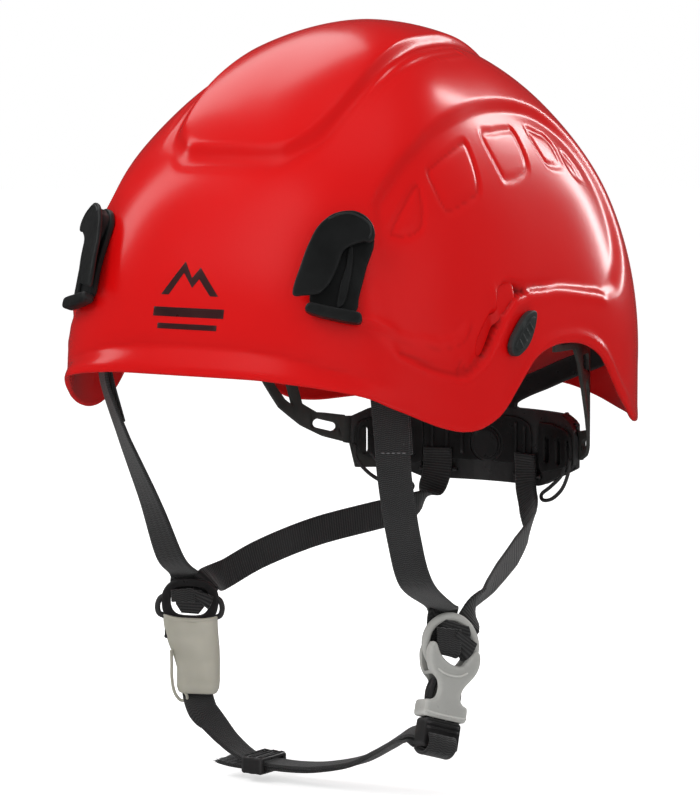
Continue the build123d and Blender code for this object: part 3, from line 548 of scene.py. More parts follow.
def capped_rings(rings, first_tip, last_tip):
    """Vertices and faces of closed rings joined in order, each end fanned to a tip."""
    count, total = len(rings[0]), len(rings) * len(rings[0])
    faces = band_faces(len(rings), count)
    faces += [(total, b, a) for a, b in ring_edges(0, count)]
    faces += [(total + 1, a, b) for a, b in ring_edges(total - count, count)]
    return list(np.concatenate(rings)) + [first_tip, last_tip], faces


INSETS = (0.12, 0.35, 0.7, 1.05)  # rows of points round a plate's edge, in edge radii


def plate(name, outline, low, high, radius, place, material,
          step=1.2, holes=(), curved=True, grid=2.2):
    """Moulded plate with rounded edges.

    The outline lies in the plate's own plane, with faces at heights low and high; place
    maps rows of (u, v, height) into the scene. step spaces the points of the outline and
    grid those of the faces."""
    radius = min(radius, (high - low) / 2 * 0.98)
    loop = catmull(outline, step, True) if curved else dense(outline, step)
    loops = [loop[::-1] if signed_area(loop) < 0 else loop]
    for hole in holes:
        loop = catmull(hole, step * 0.8, True)
        loops.append(loop[::-1] if signed_area(loop) > 0 else loop)

    def depth(points):
        """Distance to the nearest edge, -1 outside the material."""
        nearest = np.full(len(points), 1e9)
        solid = inside(points, loops[0])
        for i, loop in enumerate(loops):
            nearest = np.minimum(nearest, line_distance(points, loop, True))
            if i:
                solid &= ~inside(points, loop)
        return np.where(solid, nearest, -1)

    edges, start = [], 0
    for loop in loops:
        edges += ring_edges(start, len(loop))
        start += len(loop)
    # fill points: inset rows and a grid, less those that come too near an edge
    fill, needed = [], []
    for loop in loops:
        for inset in INSETS:
            fill.append(loop + inward_normals(loop) * (radius * inset))
            needed.append(np.full(len(loop), radius * inset) * 0.85)
    (u0, v0), (u1, v1) = loops[0].min(0), loops[0].max(0)
    across, along = np.meshgrid(np.arange(u0, u1, grid), np.arange(v0, v1, grid))
    fill.append(np.stack([across.ravel(), along.ravel()], 1))
    needed.append(np.full(across.size, radius * 1.05 + grid * 0.35))
    fill = np.concatenate(fill)
    fill = fill[depth(fill) > np.concatenate(needed)]
    points = [Vector((float(u), float(v))) for u, v in np.concatenate(loops + [fill])]
    found = geometry.delaunay_2d_cdt(points, edges, [], 0, 1e-5)
    flat = np.array([[v.x, v.y] for v in found[0]])
    centres = np.array([flat[list(f)].mean(0) for f in found[2]])
    triangles = [f for f, solid in zip(found[2], depth(centres) > 0) if solid]

    half = (high - low) / 2
    near = np.minimum(np.maximum(depth(flat), 0), radius)
    rounded = half - radius + np.sqrt(np.maximum(0, radius * radius - (radius - near) ** 2))
    middle, count = (low + high) / 2, len(flat)
    verts = np.r_[np.c_[flat, middle + rounded], np.c_[flat, middle - rounded]]
    faces = []
    for f in triangles:
        corners = flat[list(f)]
        upward = np.cross(corners[1] - corners[0], corners[2] - corners[0]) > 0
        f = tuple(f) if upward else tuple(f)[::-1]
        faces += [f, tuple(i + count for i in f[::-1])]
    # walls along the edges that only one upper triangle uses
    directed = dict.fromkeys((f[i], f[(i + 1) % 3]) for f in faces[::2] for i in range(3))
    faces += [(b, a, a + count, b + count) for a, b in directed if (b, a) not in directed]
    obj = fix_normals(to_object(name, place(verts), faces, material), drop_loose=True)
    shade_smooth(obj.data)
    return obj


def tube(name, path, radius, material, closed=False, step=0.8, sides=8,
         flat_normal=None, flat_ratio=1.0):
    """Round tube along a smooth path, or one squashed by flat_ratio along flat_normal."""
    path = catmull(path, step, closed)
    count = len(path)
    if closed:
        tangents = [unit(path[(i + 1) % count] - path[i - 1]) for i in range(count)]
    else:
        tangents = [unit(path[min(i + 1, count - 1)] - path[max(i - 1, 0)]) for i in range(count)]
    reference = np.array((0.13, 0.27, 0.95) if flat_normal is None else flat_normal, float)
    rings = []
    for centre, tangent in zip(path, tangents):
        normal = square_to(reference, tangent)
        if flat_normal is None:
            reference = normal
        side = np.cross(tangent, normal)
        rings.append([centre + normal * math.cos(a) * radius * flat_ratio
                      + side * math.sin(a) * radius for a in turn(sides)])
    if closed:
        verts = np.concatenate(rings)
        last = (count - 1) * sides
        faces = band_faces(count, sides)
        faces += [(a, b, b - last, a - last) for a, b in ring_edges(last, sides)]
    else:
        verts, faces = capped_rings(rings, path[0] - tangents[0] * (radius * 0.55),
                                    path[-1] + tangents[-1] * (radius * 0.55))
    return fix_normals(to_object(name, verts, faces, material))


# webbing section from edge to edge: place in half widths, height in half thicknesses
TAPE_ACROSS = (-1, -0.965, -0.88, -0.7, -0.45, -0.2, 0, 0.2, 0.45, 0.7, 0.88, 0.965, 1.0)
TAPE_HEIGHT = (0.42, 0.86, 1.12, 1.0, 1.0, 1.0, 1.0, 1.0, 1.0, 1.0, 1.12, 0.86, 0.42)
RIPPLE_PITCH = 1.9


def strap(name, path, across, width, material, thick=1.5, step=1.0, crown=0.0, ripple=0.0):
    """Flat webbing through the path's stations, with UV in millimetres.

    across gives a width direction per station; width is one number or one per station."""
    stations = np.asarray(path, float)
    path = catmull(stations, step)
    count = len(path)
    length = np.r_[0, np.cumsum(np.linalg.norm(np.diff(path, axis=0), axis=1))]
    nearest = [int(np.argmin(np.linalg.norm(path - q, axis=1))) for q in stations]
    nearest = np.maximum.accumulate(nearest)
    marks = length[nearest] + np.arange(len(nearest)) * 1e-6
    across = np.asarray([unit(w) for w in across])
    for i in range(1, len(across)):
        if across[i] @ across[i - 1] < 0:
            across[i] = -across[i]
    side = np.stack([np.interp(length, marks, column) for column in across.T], 1)
    if np.isscalar(width):
        width = np.full(count, float(width))
    else:
        width = np.interp(length, marks, width)
    tangent = np.gradient(path, axis=0)
    tangent /= np.linalg.norm(tangent, axis=1)[:, None]
    side -= tangent * np.sum(side * tangent, 1)[:, None]
    side /= np.linalg.norm(side, axis=1)[:, None]
    normal = np.cross(tangent, side)
    verts, uvs = [], []
    for i in range(count):
        swell = 1.0 + ripple * math.sin(length[i] * 2 * math.pi / RIPPLE_PITCH)
        for face in (1, -1):
            for a, height in zip(TAPE_ACROSS, TAPE_HEIGHT):
                a *= face
                lift = face * thick / 2 * height * swell + crown * (1 - a * a)
                verts.append(path[i] + side[i] * (a * width[i] / 2) + normal[i] * lift)
                uvs.append((a * width[i] / 2 + 30, length[i]))
    half = len(TAPE_ACROSS)
    ring = 2 * half
    faces = band_faces(count, ring)
    for base, order in ((0, -1), ((count - 1) * ring, 1)):
        for j in range(half - 1):
            cap = (base + j, base + j + 1, base + ring - 2 - j, base + ring - 1 - j)
            faces.append(cap[::order])
    return fix_normals(to_object(name, verts, faces, material, uvs=uvs))


def stitches(name, start, end, normal, body, radius, gap):
    """One straight row of short raised thread stitches."""
    pitch = 2.0 + gap
    start, end, normal = np.asarray(start, float), np.asarray(end, float), unit(normal)
    run = end - start
    count = max(1, int(round(np.linalg.norm(run) / pitch)))
    along = unit(run)
    side = np.cross(normal, along)
    length = np.linalg.norm(run) / count - gap
    verts, faces = [], []
    for k in range(count):
        first = start + along * (k * (length + gap) + gap / 2)
        base = len(verts)
        for t in (0, 0.25, 0.5, 0.75, 1.0):
            arch = math.sin(math.pi * t)
            centre = first + along * length * t + normal * (radius * 0.9 * arch - 0.05)
            thick = radius * (0.55 + 0.45 * arch)
            verts += [centre + side * math.cos(a) * thick + normal * math.sin(a) * thick * 0.8
                      for a in turn(6)]
        faces += band_faces(5, 6, base)
        faces.append(tuple(base + j for j in range(5, -1, -1)))
        faces.append(tuple(base + 24 + j for j in range(6)))
    obj = fix_normals(to_object(name, verts, faces, "thread"))
    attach(obj, body)


def join(name, material, parts):
    """Joins finished meshes of one material into one object."""
    verts, faces, offset = [], [], 0
    for part in parts:
        mesh = part.data
        flat = np.zeros(len(mesh.vertices) * 3)
        mesh.vertices.foreach_get("co", flat)
        verts.append(flat.reshape(-1, 3) / MM)
        faces += [tuple(i + offset for i in polygon.vertices) for polygon in mesh.polygons]
        offset += len(mesh.vertices)
    for part in parts:
        mesh = part.data
        bpy.data.objects.remove(part)
        bpy.data.meshes.remove(mesh)
    joined = to_object(name, np.concatenate(verts), faces, material)
    joined.data.polygons.foreach_set("material_index", [0] * len(faces))
    return joined


def cut(obj, place, material, *boxes):
    """Subtracts boxes (u low, high, v low, high, height low, high) from the mesh."""
    tools = [plate("cutter", rectangle(*box[:4]), *box[4:], 0.3, place, material,
                   step=1.0, curved=False, grid=3.0) for box in boxes]
    for tool in tools:
        modifier = obj.modifiers.new("cut", "BOOLEAN")
        modifier.operation, modifier.solver, modifier.object = "DIFFERENCE", "EXACT", tool
    depsgraph = bpy.context.evaluated_depsgraph_get()
    depsgraph.update()
    mesh = bpy.data.meshes.new_from_object(obj.evaluated_get(depsgraph))
    old = obj.data
    obj.modifiers.clear()
    obj.data = mesh
    bpy.data.meshes.remove(old)
    for tool in tools:
        bpy.data.objects.remove(tool)
    shade_smooth(mesh)
    mesh.set_sharp_from_angle(angle=math.radians(32))


# ------------------------------------------------------------------ the plain dome
DOME_FRONT, DOME_REAR, DOME_SIDE, DOME_HEIGHT = 135.228, 143.443, 110.0, 162.51
DOME_SHIFT = 9.726      # how far the centre moves back from base to top
PLAN_POWER = 2.978      # superellipse exponent of the plan
# (p, q) of the narrowing (1 - h**p)**(1/q) with relative height h: side, front, rear
NARROWING = ((2.18, 1.906), (2.371, 1.658), (1.964, 1.928))


def narrowing(height):
    """Share of the side, front and rear reach left at a relative height."""
    return [(1 - height ** p) ** (1 / q) for p, q in NARROWING]


def dome_xy(angle, z, offset=0.0):
    """Plan point at a plan angle (0 to the front) and height, on the dome grown by offset."""
    height = np.clip(z / (DOME_HEIGHT + offset), 0, 1)
    side, front, rear = narrowing(height)
    sin, cos = np.sin(angle), np.cos(angle)
    power = 2 / PLAN_POWER
    x = (DOME_SIDE + offset) * side * signed_power(sin, power)
    reach = np.where(cos > 0, -(DOME_FRONT + offset) * front, (DOME_REAR + offset) * rear)
    return x, reach * np.abs(cos) ** power + DOME_SHIFT * height


def plan_share(share):
    """Share of the reach along one plan axis, given the share along the other."""
    share = np.clip(share, 0, 0.999)
    return (1 - share ** PLAN_POWER) ** (1 / PLAN_POWER)


def dome_radius(direction, z, offset):
    """Distance from the z axis to the offset dome along a plan direction."""
    height = max(0.0, z / (DOME_HEIGHT + offset))
    if height >= 0.999:
        return 0.0
    side, front, rear = narrowing(height)
    low, high = 0.0, 170.0
    for _ in range(36):
        middle = (low + high) / 2
        y = direction[1] * middle - DOME_SHIFT * height
        reach = (DOME_FRONT + offset) * front if y < 0 else (DOME_REAR + offset) * rear
        share_x = abs(direction[0] * middle) / ((DOME_SIDE + offset) * side)
        if share_x ** PLAN_POWER + (abs(y) / reach) ** PLAN_POWER < 1:
            low = middle
        else:
            high = middle
    return low


# ------------------------------------------------------------------ shell relief
# side view lines and outlines, (y, z)
RIM = np.array([
    (-150, 8), (-135, 8), (-130, 6.5), (-124, 4.5), (-113, 0.5), (-105, -4), (-92, -10),
    (-83, -13.5), (-73, -16), (-64, -16.5), (-56, -15), (-47, -11.5), (-41, -7), (-35, -1),
    (-23, 9.5), (-15, 14), (-6, 16.5), (5, 17.8), (21, 17), (33, 14), (43, 9.5), (50, 4), (57, -3),
    (66, -11), (79, -19.5), (90, -25), (104, -27), (118, -26), (130, -24), (138, -19.5),
    (143, -14), (147, -9), (151, -7.3), (160, -7)], float)
RIM_CURVE = catmull(RIM, 1.0)
# arch over the side recess, where its wall starts and ends
ARCH_OUTER = [
    (-98, 80), (-96, 84), (-89, 92), (-77, 103), (-64, 111), (-50, 119), (-29, 126), (-7, 130),
    (12, 131), (34, 130), (49, 128), (61, 123), (76, 115), (85, 105), (91, 92), (94, 78), (93, 61),
    (88, 50), (80, 42.5), (65, 36.5)]
ARCH_INNER = [
    (-90, 78), (-88, 84), (-76, 94), (-60, 105), (-41, 113), (-21, 118), (-3, 121), (21, 122),
    (35, 120), (46, 116), (57, 109), (64, 99), (68, 84), (69.5, 68), (67, 54), (60, 44.5),
    (48, 40.5)]
# top edge of the band below the recess
BAND_LINE = [
    (-101, 18), (-92, 13), (-80, 8.5), (-69, 7.3), (-63, 9.5), (-55, 15.5), (-46, 25), (-37, 35),
    (-27, 40.3), (-14, 41.7), (10, 41.2), (33, 38.7), (48, 37)]
# crisp lip in the recess's front lower part
LIP_LINE = [(-118, 39), (-112, 36), (-102, 30), (-94, 26.6), (-84, 24), (-75, 24), (-68, 26.5),
            (-62, 32)]
VENTS = [
    [(-92, 72), (-83, 83), (-71, 93.5), (-69.5, 90), (-76, 75), (-85, 70)],
    [(-62, 97.5), (-56, 102), (-41, 108), (-28, 112), (-26.5, 108.5), (-32, 92), (-38, 86.5),
     (-47, 83.5), (-57, 80.5), (-62, 82)],
    [(-11.5, 114), (2, 116.5), (15, 117), (19, 115.5), (15.5, 101), (10, 96), (-1, 93),
     (-10, 92.5), (-12.5, 95)],
    [(31, 116), (41, 114.5), (48, 111), (48.5, 100), (44, 97.2), (34, 98), (30.5, 102)],
    [(56, 104.5), (61, 97), (62.5, 91), (56, 92), (53.5, 97), (53, 102)]]
SLOTS = [
    [(-39, 34), (-30, 40.6), (-19, 42.6), (-25, 46), (-36, 46.5), (-41, 41)],
    [(-56, 16), (-46, 26.8), (-41, 32), (-45.5, 35), (-52, 29.5), (-58, 21.5)]]
SLOT_RIB = [(-43.5, 45.5), (-40.5, 33.5)]
BAND_NOTCH = [(-73, 8.5), (-71, 15), (-67, 10.5)]
# raised crown panel in plan, (x, y) of the left half, where its wall starts and ends
PANEL_OUTER = [
    (0, -101), (14, -101), (26, -100), (33, -95), (40, -88), (43, -76), (44, -60), (42, -39),
    (39, -15), (35, 16), (33, 39), (31, 70), (27, 97), (18, 110), (0, 113)]
PANEL_INNER = [
    (0, -92.5), (12, -92.5), (24, -91), (30, -87), (34, -80), (35.5, -69), (35.5, -55), (34, -30),
    (31, -3), (28, 20), (26, 42), (24, 70), (20, 90), (13, 99), (0, 101)]
PANEL_CREASE = [(47, -82), (48.5, -70), (48.5, -54), (48, -39), (47, -21), (45, -1), (42, 25)]
# upper edge of the front lip, (distance from the middle, z)
FRONT_LIP = ((0, 30, 50, 62, 74, 86, 98), (20.5, 20, 17.5, 14.5, 11, 6, 0))


def side_relief(width, y, z, broad, fine):
    """Adds the recess, its lip, the band, vents and slots to the two height arrays."""
    near = np.where((width > 35) & (z > 0) & (z < 140) & (y > -120) & (y < 110))[0]
    points = np.stack([y, z], 1)[near]
    along, up = points[:, 0], points[:, 1]
    outer = np.r_[catmull(ARCH_OUTER, 2.5), catmull(BAND_LINE, 2.0)[::-1], [(-116, 30), (-113, 56)]]
    inner = np.r_[catmull(ARCH_INNER, 2.5), offset_line(BAND_LINE, 4.0)[::-1],
                  [(-93, 25), (-92, 55)]]
    sunk = rise(blend_between(points, outer, inner), 0.22, 0.50)
    lip_z = np.interp(along, *np.array(LIP_LINE).T)
    # half the depth below the lip
    shallow = rise(lip_z, up, 2.0) * fall(along, -69, 9) * rise(along, -118, 6)
    broad[near] += -3.0 * sunk * (1 - 0.5 * shallow)

    to_lip = line_distance(points, catmull(LIP_LINE, 2.0))
    front = rise(along, -116, 8)
    lines = 1.15 * ridge(to_lip - 0.5, 1.2) * (lip_z > up - 1.5) * fall(along, -66, 6) * front
    # rounded crest of the band, then the creases above it and under the lip
    lines += 0.55 * ridge(line_distance(points, offset_line(BAND_LINE, -1.2)), 2.4)
    to_crease = line_distance(points, offset_line(BAND_LINE, 2.4))
    lines += -1.5 * ridge(to_crease, 1.5) * fall(along, -8, 16)
    lines += -0.9 * ridge(to_lip - 2.8, 1.4) * (lip_z > up) * fall(along, -62, 6) * front
    for vent in VENTS:
        depth = signed_depth(points, catmull(vent, 1.2, True))
        lines += (-0.22 * rise(depth, -0.3, 1.3) - 0.85 * ridge(depth - 0.8, 0.85)
                  + 0.10 * ridge(depth + 1.2, 0.9))
    for slot in SLOTS:
        depth = signed_depth(points, catmull(slot, 1.0, True))
        lines += -4.6 * rise(depth, -0.3, 1.7)
    lines += 1.0 * ridge(line_distance(points, SLOT_RIB), 1.1)
    lines += -0.9 * ridge(line_distance(points, BAND_NOTCH), 1.2)
    fine[near] += lines


def crown_relief(width, y, z, broad, fine):
    """Adds the raised crown panel and the creases round it."""
    near = np.where((z > 70) & (width < 75))[0]
    points = np.stack([width, y], 1)[near]

    def mirrored(half):
        curve = catmull(half, 2.0)
        return np.r_[curve, (curve * [-1, 1])[::-1][1:-1]]
    panel = mirrored(PANEL_OUTER)
    raised = blend_between(points, panel, mirrored(PANEL_INNER))
    broad[near] += 3.3 * rise(raised, 0.18, 0.50)
    flank = rise(y[near], -88, 14) * fall(y[near], 20, 40)
    crease = line_distance(points, catmull(PANEL_CREASE, 2.0))
    fine[near] += -0.75 * ridge(signed_depth(points, panel) + 0.8, 1.7)
    fine[near] += -0.6 * ridge(crease, 0.9) * flank
    fine[near] += 0.35 * ridge(crease - 2.2, 1.5) * flank * (points[:, 0] < 47)


def relief(x, y, z, rim):
    """Heights over the plain dome in two arrays, broad forms and fine lines."""
    width = np.abs(x)
    broad, fine = np.zeros(len(x)), np.zeros(len(x))
    side_relief(width, y, z, broad, fine)
    crown_relief(width, y, z, broad, fine)
    broad += -1.5 * rise(z, 80, 45)
    # front lip
    lip_z = np.interp(width, *FRONT_LIP)
    fade = fall(width, 70, 26) * (y < -60)
    tall = np.maximum(lip_z - rim, 2.0)
    broad += 3.0 * smooth((lip_z - z) / (0.95 * tall)) * fade * (z < lip_z)
    fine += -0.8 * ridge(z - lip_z - 1.0, 2.2) * fade
    # rolled bead along the rim, stronger in the ear arch
    above = np.maximum(0, z - rim)
    ear = ((y > -45) & (y < 85)) * rise(y, -45, 12) * fall(y, 70, 15)
    fine += (0.35 + 0.75 * ear) * ridge(above - 1.6, 2.0) * (y > -95)
    return broad, fine


# ------------------------------------------------------------------ outer shell
SHELL_COLUMNS, OUTER_ROWS, INNER_ROWS = 560, 152, 14
SHELL_THICK = 2.6


def shell_columns():
    """Plan angle and rim height of each column, denser round the side details."""
    angles = np.linspace(-math.pi, math.pi, 20001)
    x, y = dome_xy(angles, np.full_like(angles, 12.0))
    steps = np.r_[0, np.hypot(np.diff(x), np.diff(y))]
    density = 0.62 + np.exp(-(((y + 18) / 82) ** 4)) * (np.abs(x) > 70) + 0.35 * (y < -80)
    total = np.cumsum(steps * density)
    columns = np.interp(np.linspace(0, total[-1], SHELL_COLUMNS + 1)[:-1], total, angles)
    rim = np.full(SHELL_COLUMNS, 5.0)
    for _ in range(25):
        _, y = dome_xy(columns, rim)
        rim = 0.5 * rim + 0.5 * (np.interp(y, *RIM_CURVE.T) + 1.35)
    return columns, rim


def dome_grid(columns, rim, rows, sweep):
    """Rows of dome points from rim to top, and their outward normals."""
    share = np.sin(np.linspace(0, 1, rows) * math.pi / 2 * sweep) / math.sin(math.pi / 2 * sweep)
    z = rim[None, :] + (DOME_HEIGHT * 0.99996 - rim[None, :]) * share[:, None]
    angle = np.broadcast_to(columns, z.shape)
    x, y = dome_xy(angle, z)
    # normals from finite differences
    xa, ya = dome_xy(angle + 2e-3, z)
    xb, yb = dome_xy(angle - 2e-3, z)
    upper = np.minimum(z + 0.4, DOME_HEIGHT * 0.999995)
    lower = upper - 2 * 0.4
    xc, yc = dome_xy(angle, upper)
    xd, yd = dome_xy(angle, lower)
    normal = np.cross(np.stack([xa - xb, ya - yb, 0 * xa], -1),
                      np.stack([xc - xd, yc - yd, upper - lower], -1))
    normal /= np.maximum(1e-9, np.linalg.norm(normal, axis=-1))[..., None]
    outward = np.stack([x, y, z - 30], -1)
    normal *= np.sign(np.sum(normal * outward, -1))[..., None]
    # near the top the normal is straight up
    top = rise(z, DOME_HEIGHT * 0.9975, DOME_HEIGHT * 0.0023)[..., None]
    normal = normal * (1 - top) + np.array([0, 0, 1.0]) * top
    normal /= np.linalg.norm(normal, axis=-1)[..., None]
    return np.stack([x, y, z], -1), normal


def grid_relief(points, rim):
    x, y, z = points.reshape(-1, 3).T
    heights = relief(x, y, z, np.broadcast_to(rim, points.shape[:2]).ravel())
    return [part.reshape(points.shape[:2]) for part in heights]


def build_shell():
    columns, rim = shell_columns()
    points, normal = dome_grid(columns, rim, OUTER_ROWS, 0.9985)
    broad, fine = grid_relief(points, rim)
    height = broad + fine
    # a light blur keeps slanting edges from stepping with the grid
    for _ in range(2):
        height = (np.roll(height, 1, 1) + 2 * height + np.roll(height, -1, 1)) / 4
    height[1:-1] = (height[:-2] + 2 * height[1:-1] + height[2:]) / 4
    outer = points + normal * height[..., None]
    points, normal = dome_grid(columns, rim, INNER_ROWS, 0.985)
    broad, _ = grid_relief(points, rim)
    inner = points + normal * (broad - SHELL_THICK)[..., None]
    # rounded rim between the two
    middle = (outer[0] + inner[0]) / 2
    half = (outer[0] - inner[0]) / 2
    down = outer[0] - outer[2]
    down /= np.linalg.norm(down, axis=1)[:, None]
    radius = np.linalg.norm(half, axis=1)[:, None]
    roll = [middle + half * math.cos(a) + down * radius * math.sin(a)
            for a in (math.pi * k / 6 for k in range(5, 0, -1))]
    rings = list(inner[::-1]) + roll + list(outer)
    verts, faces = capped_rings(
        rings, np.array([0, DOME_SHIFT, inner[-1][:, 2].mean()]),
        np.array([0, DOME_SHIFT, outer[-1][:, 2].mean() + 0.02]))
    shell = fix_normals(to_object("shell", verts, faces, "shell"))
    # painted shade for the paint: darker where an outer point lies below its surroundings
    groove_shade = np.zeros(len(verts))
    first = (len(rings) - OUTER_ROWS) * SHELL_COLUMNS
    groove_shade_amount = (0.85 * smooth((-fine - 1.6) / 2.4) + 0.24 * smooth((-fine - 0.55) / 0.6)).clip(0, 0.9)
    groove_shade[first:first + groove_shade_amount.size] = groove_shade_amount.ravel()
    attribute = shell.data.attributes.new("groove_shade", "FLOAT", "POINT")
    attribute.data.foreach_set("value", groove_shade.astype(np.float32))
    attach(shell, "helmet")
    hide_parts("outer_shell")


build_shell()


# ------------------------------------------------------------------ marks on the brow
def front_y(x, z):
    """y of the plain dome's front at x and z."""
    height = np.clip(z / DOME_HEIGHT, 0, 1)
    side, front, _ = narrowing(height)
    share = plan_share(np.abs(x) / (DOME_SIDE * side))
    return -DOME_FRONT * front * share + DOME_SHIFT * height


def on_front(points):
    """Maps (x, z, height) to the front of the shell."""
    x, z, height = points.T
    y = front_y(x, z)
    slope_x = (front_y(x + 0.3, z) - y) / 0.3
    slope_z = (front_y(x, z + 0.3) - y) / 0.3
    normal = np.stack([slope_x, -np.ones_like(y), slope_z], 1)
    normal /= np.linalg.norm(normal, axis=1)[:, None]
    broad, fine = relief(x, y, z, np.full_like(x, 8.0))
    lift = 0.05
    return np.stack([x, y, z], 1) + normal * (height + broad + fine + lift)[:, None]


# a ridge line of two peaks over two plain bars, (x, z)
MARKS = {
    "mark_peaks": [(-17, 43), (-6.5, 57.5), (-1.5, 50.5), (2.2, 55.2), (14, 43), (9.6, 43),
                   (2.4, 50.2), (-0.6, 46.3), (-6.3, 52.6), (-12.8, 43)],
    "mark_bar_1": rectangle(-20, 18, 33.6, 37.6),
    "mark_bar_2": rectangle(-17, 15, 28.2, 30.6)}
for name, outline in MARKS.items():
    own(plate(name, outline, -0.05, 0.10, 0.05, on_front, "mark", step=1.0, curved=False,
              grid=1.6), "helmet", "clip_black")

# ------------------------------------------------------------------ headlamp clips
# outlines in the plane that touches the shell, (towards the front or rear end, up)
CLIP_FLAP = [
    (-6.4, 19.7), (-1.8, 21.9), (2.8, 22.6), (5.9, 22.3), (9.8, 20.3), (12.6, 16.9), (13.8, 12.5),
    (13.2, 9.4), (11.4, 8.3), (9.2, 8.5), (6.7, 7.9), (3.6, 6.7), (1.3, 5.3), (-0.2, 3.4),
    (-1.4, -0.2), (-2.5, -3.4), (-4, -6.8), (-5.6, -9.9), (-7.8, -12.5), (-10.5, -14.6),
    (-14, -15.2), (-17.8, -15.5), (-20.6, -15.6), (-21.7, -14.2), (-21.0, -10), (-18.6, -2.8),
    (-15.6, 6), (-11.4, 14.6)]
CLIP_BASE = [
    (-9, 17), (-4, 20.5), (3, 21.5), (9, 19.5), (13, 14.5), (13.4, 9), (12.4, 5), (10.5, -0.6),
    (8.4, -9), (6.9, -15), (6.3, -19.5), (4, -22), (-4, -22), (-12, -19.5), (-14.5, -16),
    (-13, -6), (-12, 6), (-11, 13)]
CLIP_WEB = [
    (-8.6, 16), (-5, 18.8), (0, 20.4), (4.4, 20.6), (9, 18.6), (11.8, 15.2), (12.8, 11.6),
    (12, 9.9), (9.4, 10.2), (6, 9.4), (3, 8.2), (0.6, 6.8), (-1.4, 4.4), (-3, 1), (-6, 3), (-9, 8)]
CLIP_FOOT = [
    (-15.8, -19.0), (-13.5, -18.0), (-4, -20.2), (5.5, -22.0), (7.8, -23.2), (8.2, -25.8),
    (6.6, -27.2), (1, -26.6), (-8, -24.6), (-14.5, -22.4), (-16.2, -20.8)]
CLIP_RIB = [(2.2, 6), (4.4, 7), (3.8, -4), (1.4, -16), (-0.8, -19.5), (-2.6, -19), (-1.2, -10),
            (1.2, -2)]
CLIP_LIP = [(-6.2, 18.3), (-1.6, 20.4), (3.2, 21.0), (7.6, 19.4), (11.2, 16.4), (12.2, 12.6),
            (11.2, 10.0)]


def dome_frame(degrees, z, side):
    """Point on the dome at a true plan angle from the front, with its tangents and normal."""
    true, power = math.radians(degrees), PLAN_POWER / 2
    angle = side * math.atan2(float(signed_power(math.sin(true), power)),
                              float(signed_power(math.cos(true), power)))

    def point(angle, z):
        x, y = dome_xy(np.float64(angle), np.float64(z))
        return np.array([float(x), float(y), z])
    origin = point(angle, z)
    normal = unit(np.cross(point(angle + 1e-3, z) - point(angle - 1e-3, z),
                           point(angle, z + 0.2) - point(angle, z - 0.2)))
    if normal @ (origin - [0, 0, 40]) < 0:
        normal = -normal
    across = unit(np.cross([0, 0, 1], normal))
    if (across[0] * side > 0) != (degrees < 90):
        across = -across
    up = np.cross(normal, across)
    if up[2] < 0:
        up = -up
    return origin, across, up, normal


def headlamp_clip(place_name, degrees, side):
    origin, across, up, normal = dome_frame(degrees, 58, side)
    lift = 0.9 if degrees < 90 else 1.5

    def place(points, follow=1.0):
        """Bends the flat part to the dome; follow is how closely it curves."""
        u, v, height = points.T
        sag = follow * (u * u / 170 + v * v / 330)
        return (origin + u[:, None] * across + v[:, None] * up
                + (height + lift - sag)[:, None] * normal)

    def flared(points):
        u, v, height = points.T
        flare = 0.9 * rise(v, 4, 16) * smooth((14 - u) / 20) + 0.5 * smooth((-8 - u) / 12)
        return place(np.c_[u, v, height + flare], 0.55)
    sunk = partial(place, follow=0.8)
    # outline, low, high, edge radius, placing, step, grid
    parts = [plate("part", *shape, "clip", step=step, grid=grid) for *shape, step, grid in (
        (CLIP_BASE, -0.8, 1.7, 0.7, place, 1.0, 2.2),
        (CLIP_FLAP, 4.2, 6.1, 0.9, flared, 0.9, 1.8),
        (CLIP_WEB, 1.2, 5.2, 0.5, sunk, 1.0, 2.2),
        (CLIP_FOOT, 0.2, 5.6, 1.2, sunk, 0.8, 2.0),
        (CLIP_RIB, 1.2, 2.9, 0.7, partial(place, follow=0.9), 1.0, 2.0))]
    lip = flared(np.array([(u, v, 6.0) for u, v in CLIP_LIP]))
    parts.append(tube("part", lip, 0.55, "clip", step=1.0))
    own(join("clip_" + place_name, "clip", parts), "helmet", "clip_black",
        "headlamp_clip_" + place_name)


for end, degrees in (("front", 36), ("rear", 160)):
    for side, side_name in SIDES:
        headlamp_clip(end + "_" + side_name, degrees, side)

# ------------------------------------------------------------------ visor plugs
# plate and its raised field, (y, z)
PLUG = [
    (-25.2, 34.2), (-22, 34.4), (-20.6, 32.8), (-21.6, 29.0), (-24.6, 23.5), (-28.6, 19.0),
    (-33.5, 16.2), (-37.6, 15.0), (-41, 16.2), (-42.2, 19.4), (-40.6, 22.8), (-37.4, 26.2),
    (-33.4, 29.8), (-29, 32.8)]
PLUG_FIELD = [
    (-25.6, 31.6), (-23.6, 31.8), (-23.6, 29.6), (-26.4, 24.4), (-30.2, 20.4), (-34.4, 18.2),
    (-37.4, 17.6), (-39.4, 18.8), (-39.2, 20.8), (-36.4, 24.0), (-32.2, 27.6), (-28.6, 30.2)]
PLUG_PLANE_X = 111.6
PLUG_TILT = math.radians(39)


def side_x(y, z):
    """Distance of the shell's side from the middle plane, relief included."""
    height = np.clip(z / DOME_HEIGHT, 0, 1)
    side, front, rear = narrowing(height)
    along = y - DOME_SHIFT * height
    reach = np.where(along < 0, DOME_FRONT * front, DOME_REAR * rear)
    x = DOME_SIDE * side * plan_share(np.abs(along) / reach)
    broad, fine = relief(x, y, z, np.full_like(x, -20.0))
    return x + broad + fine


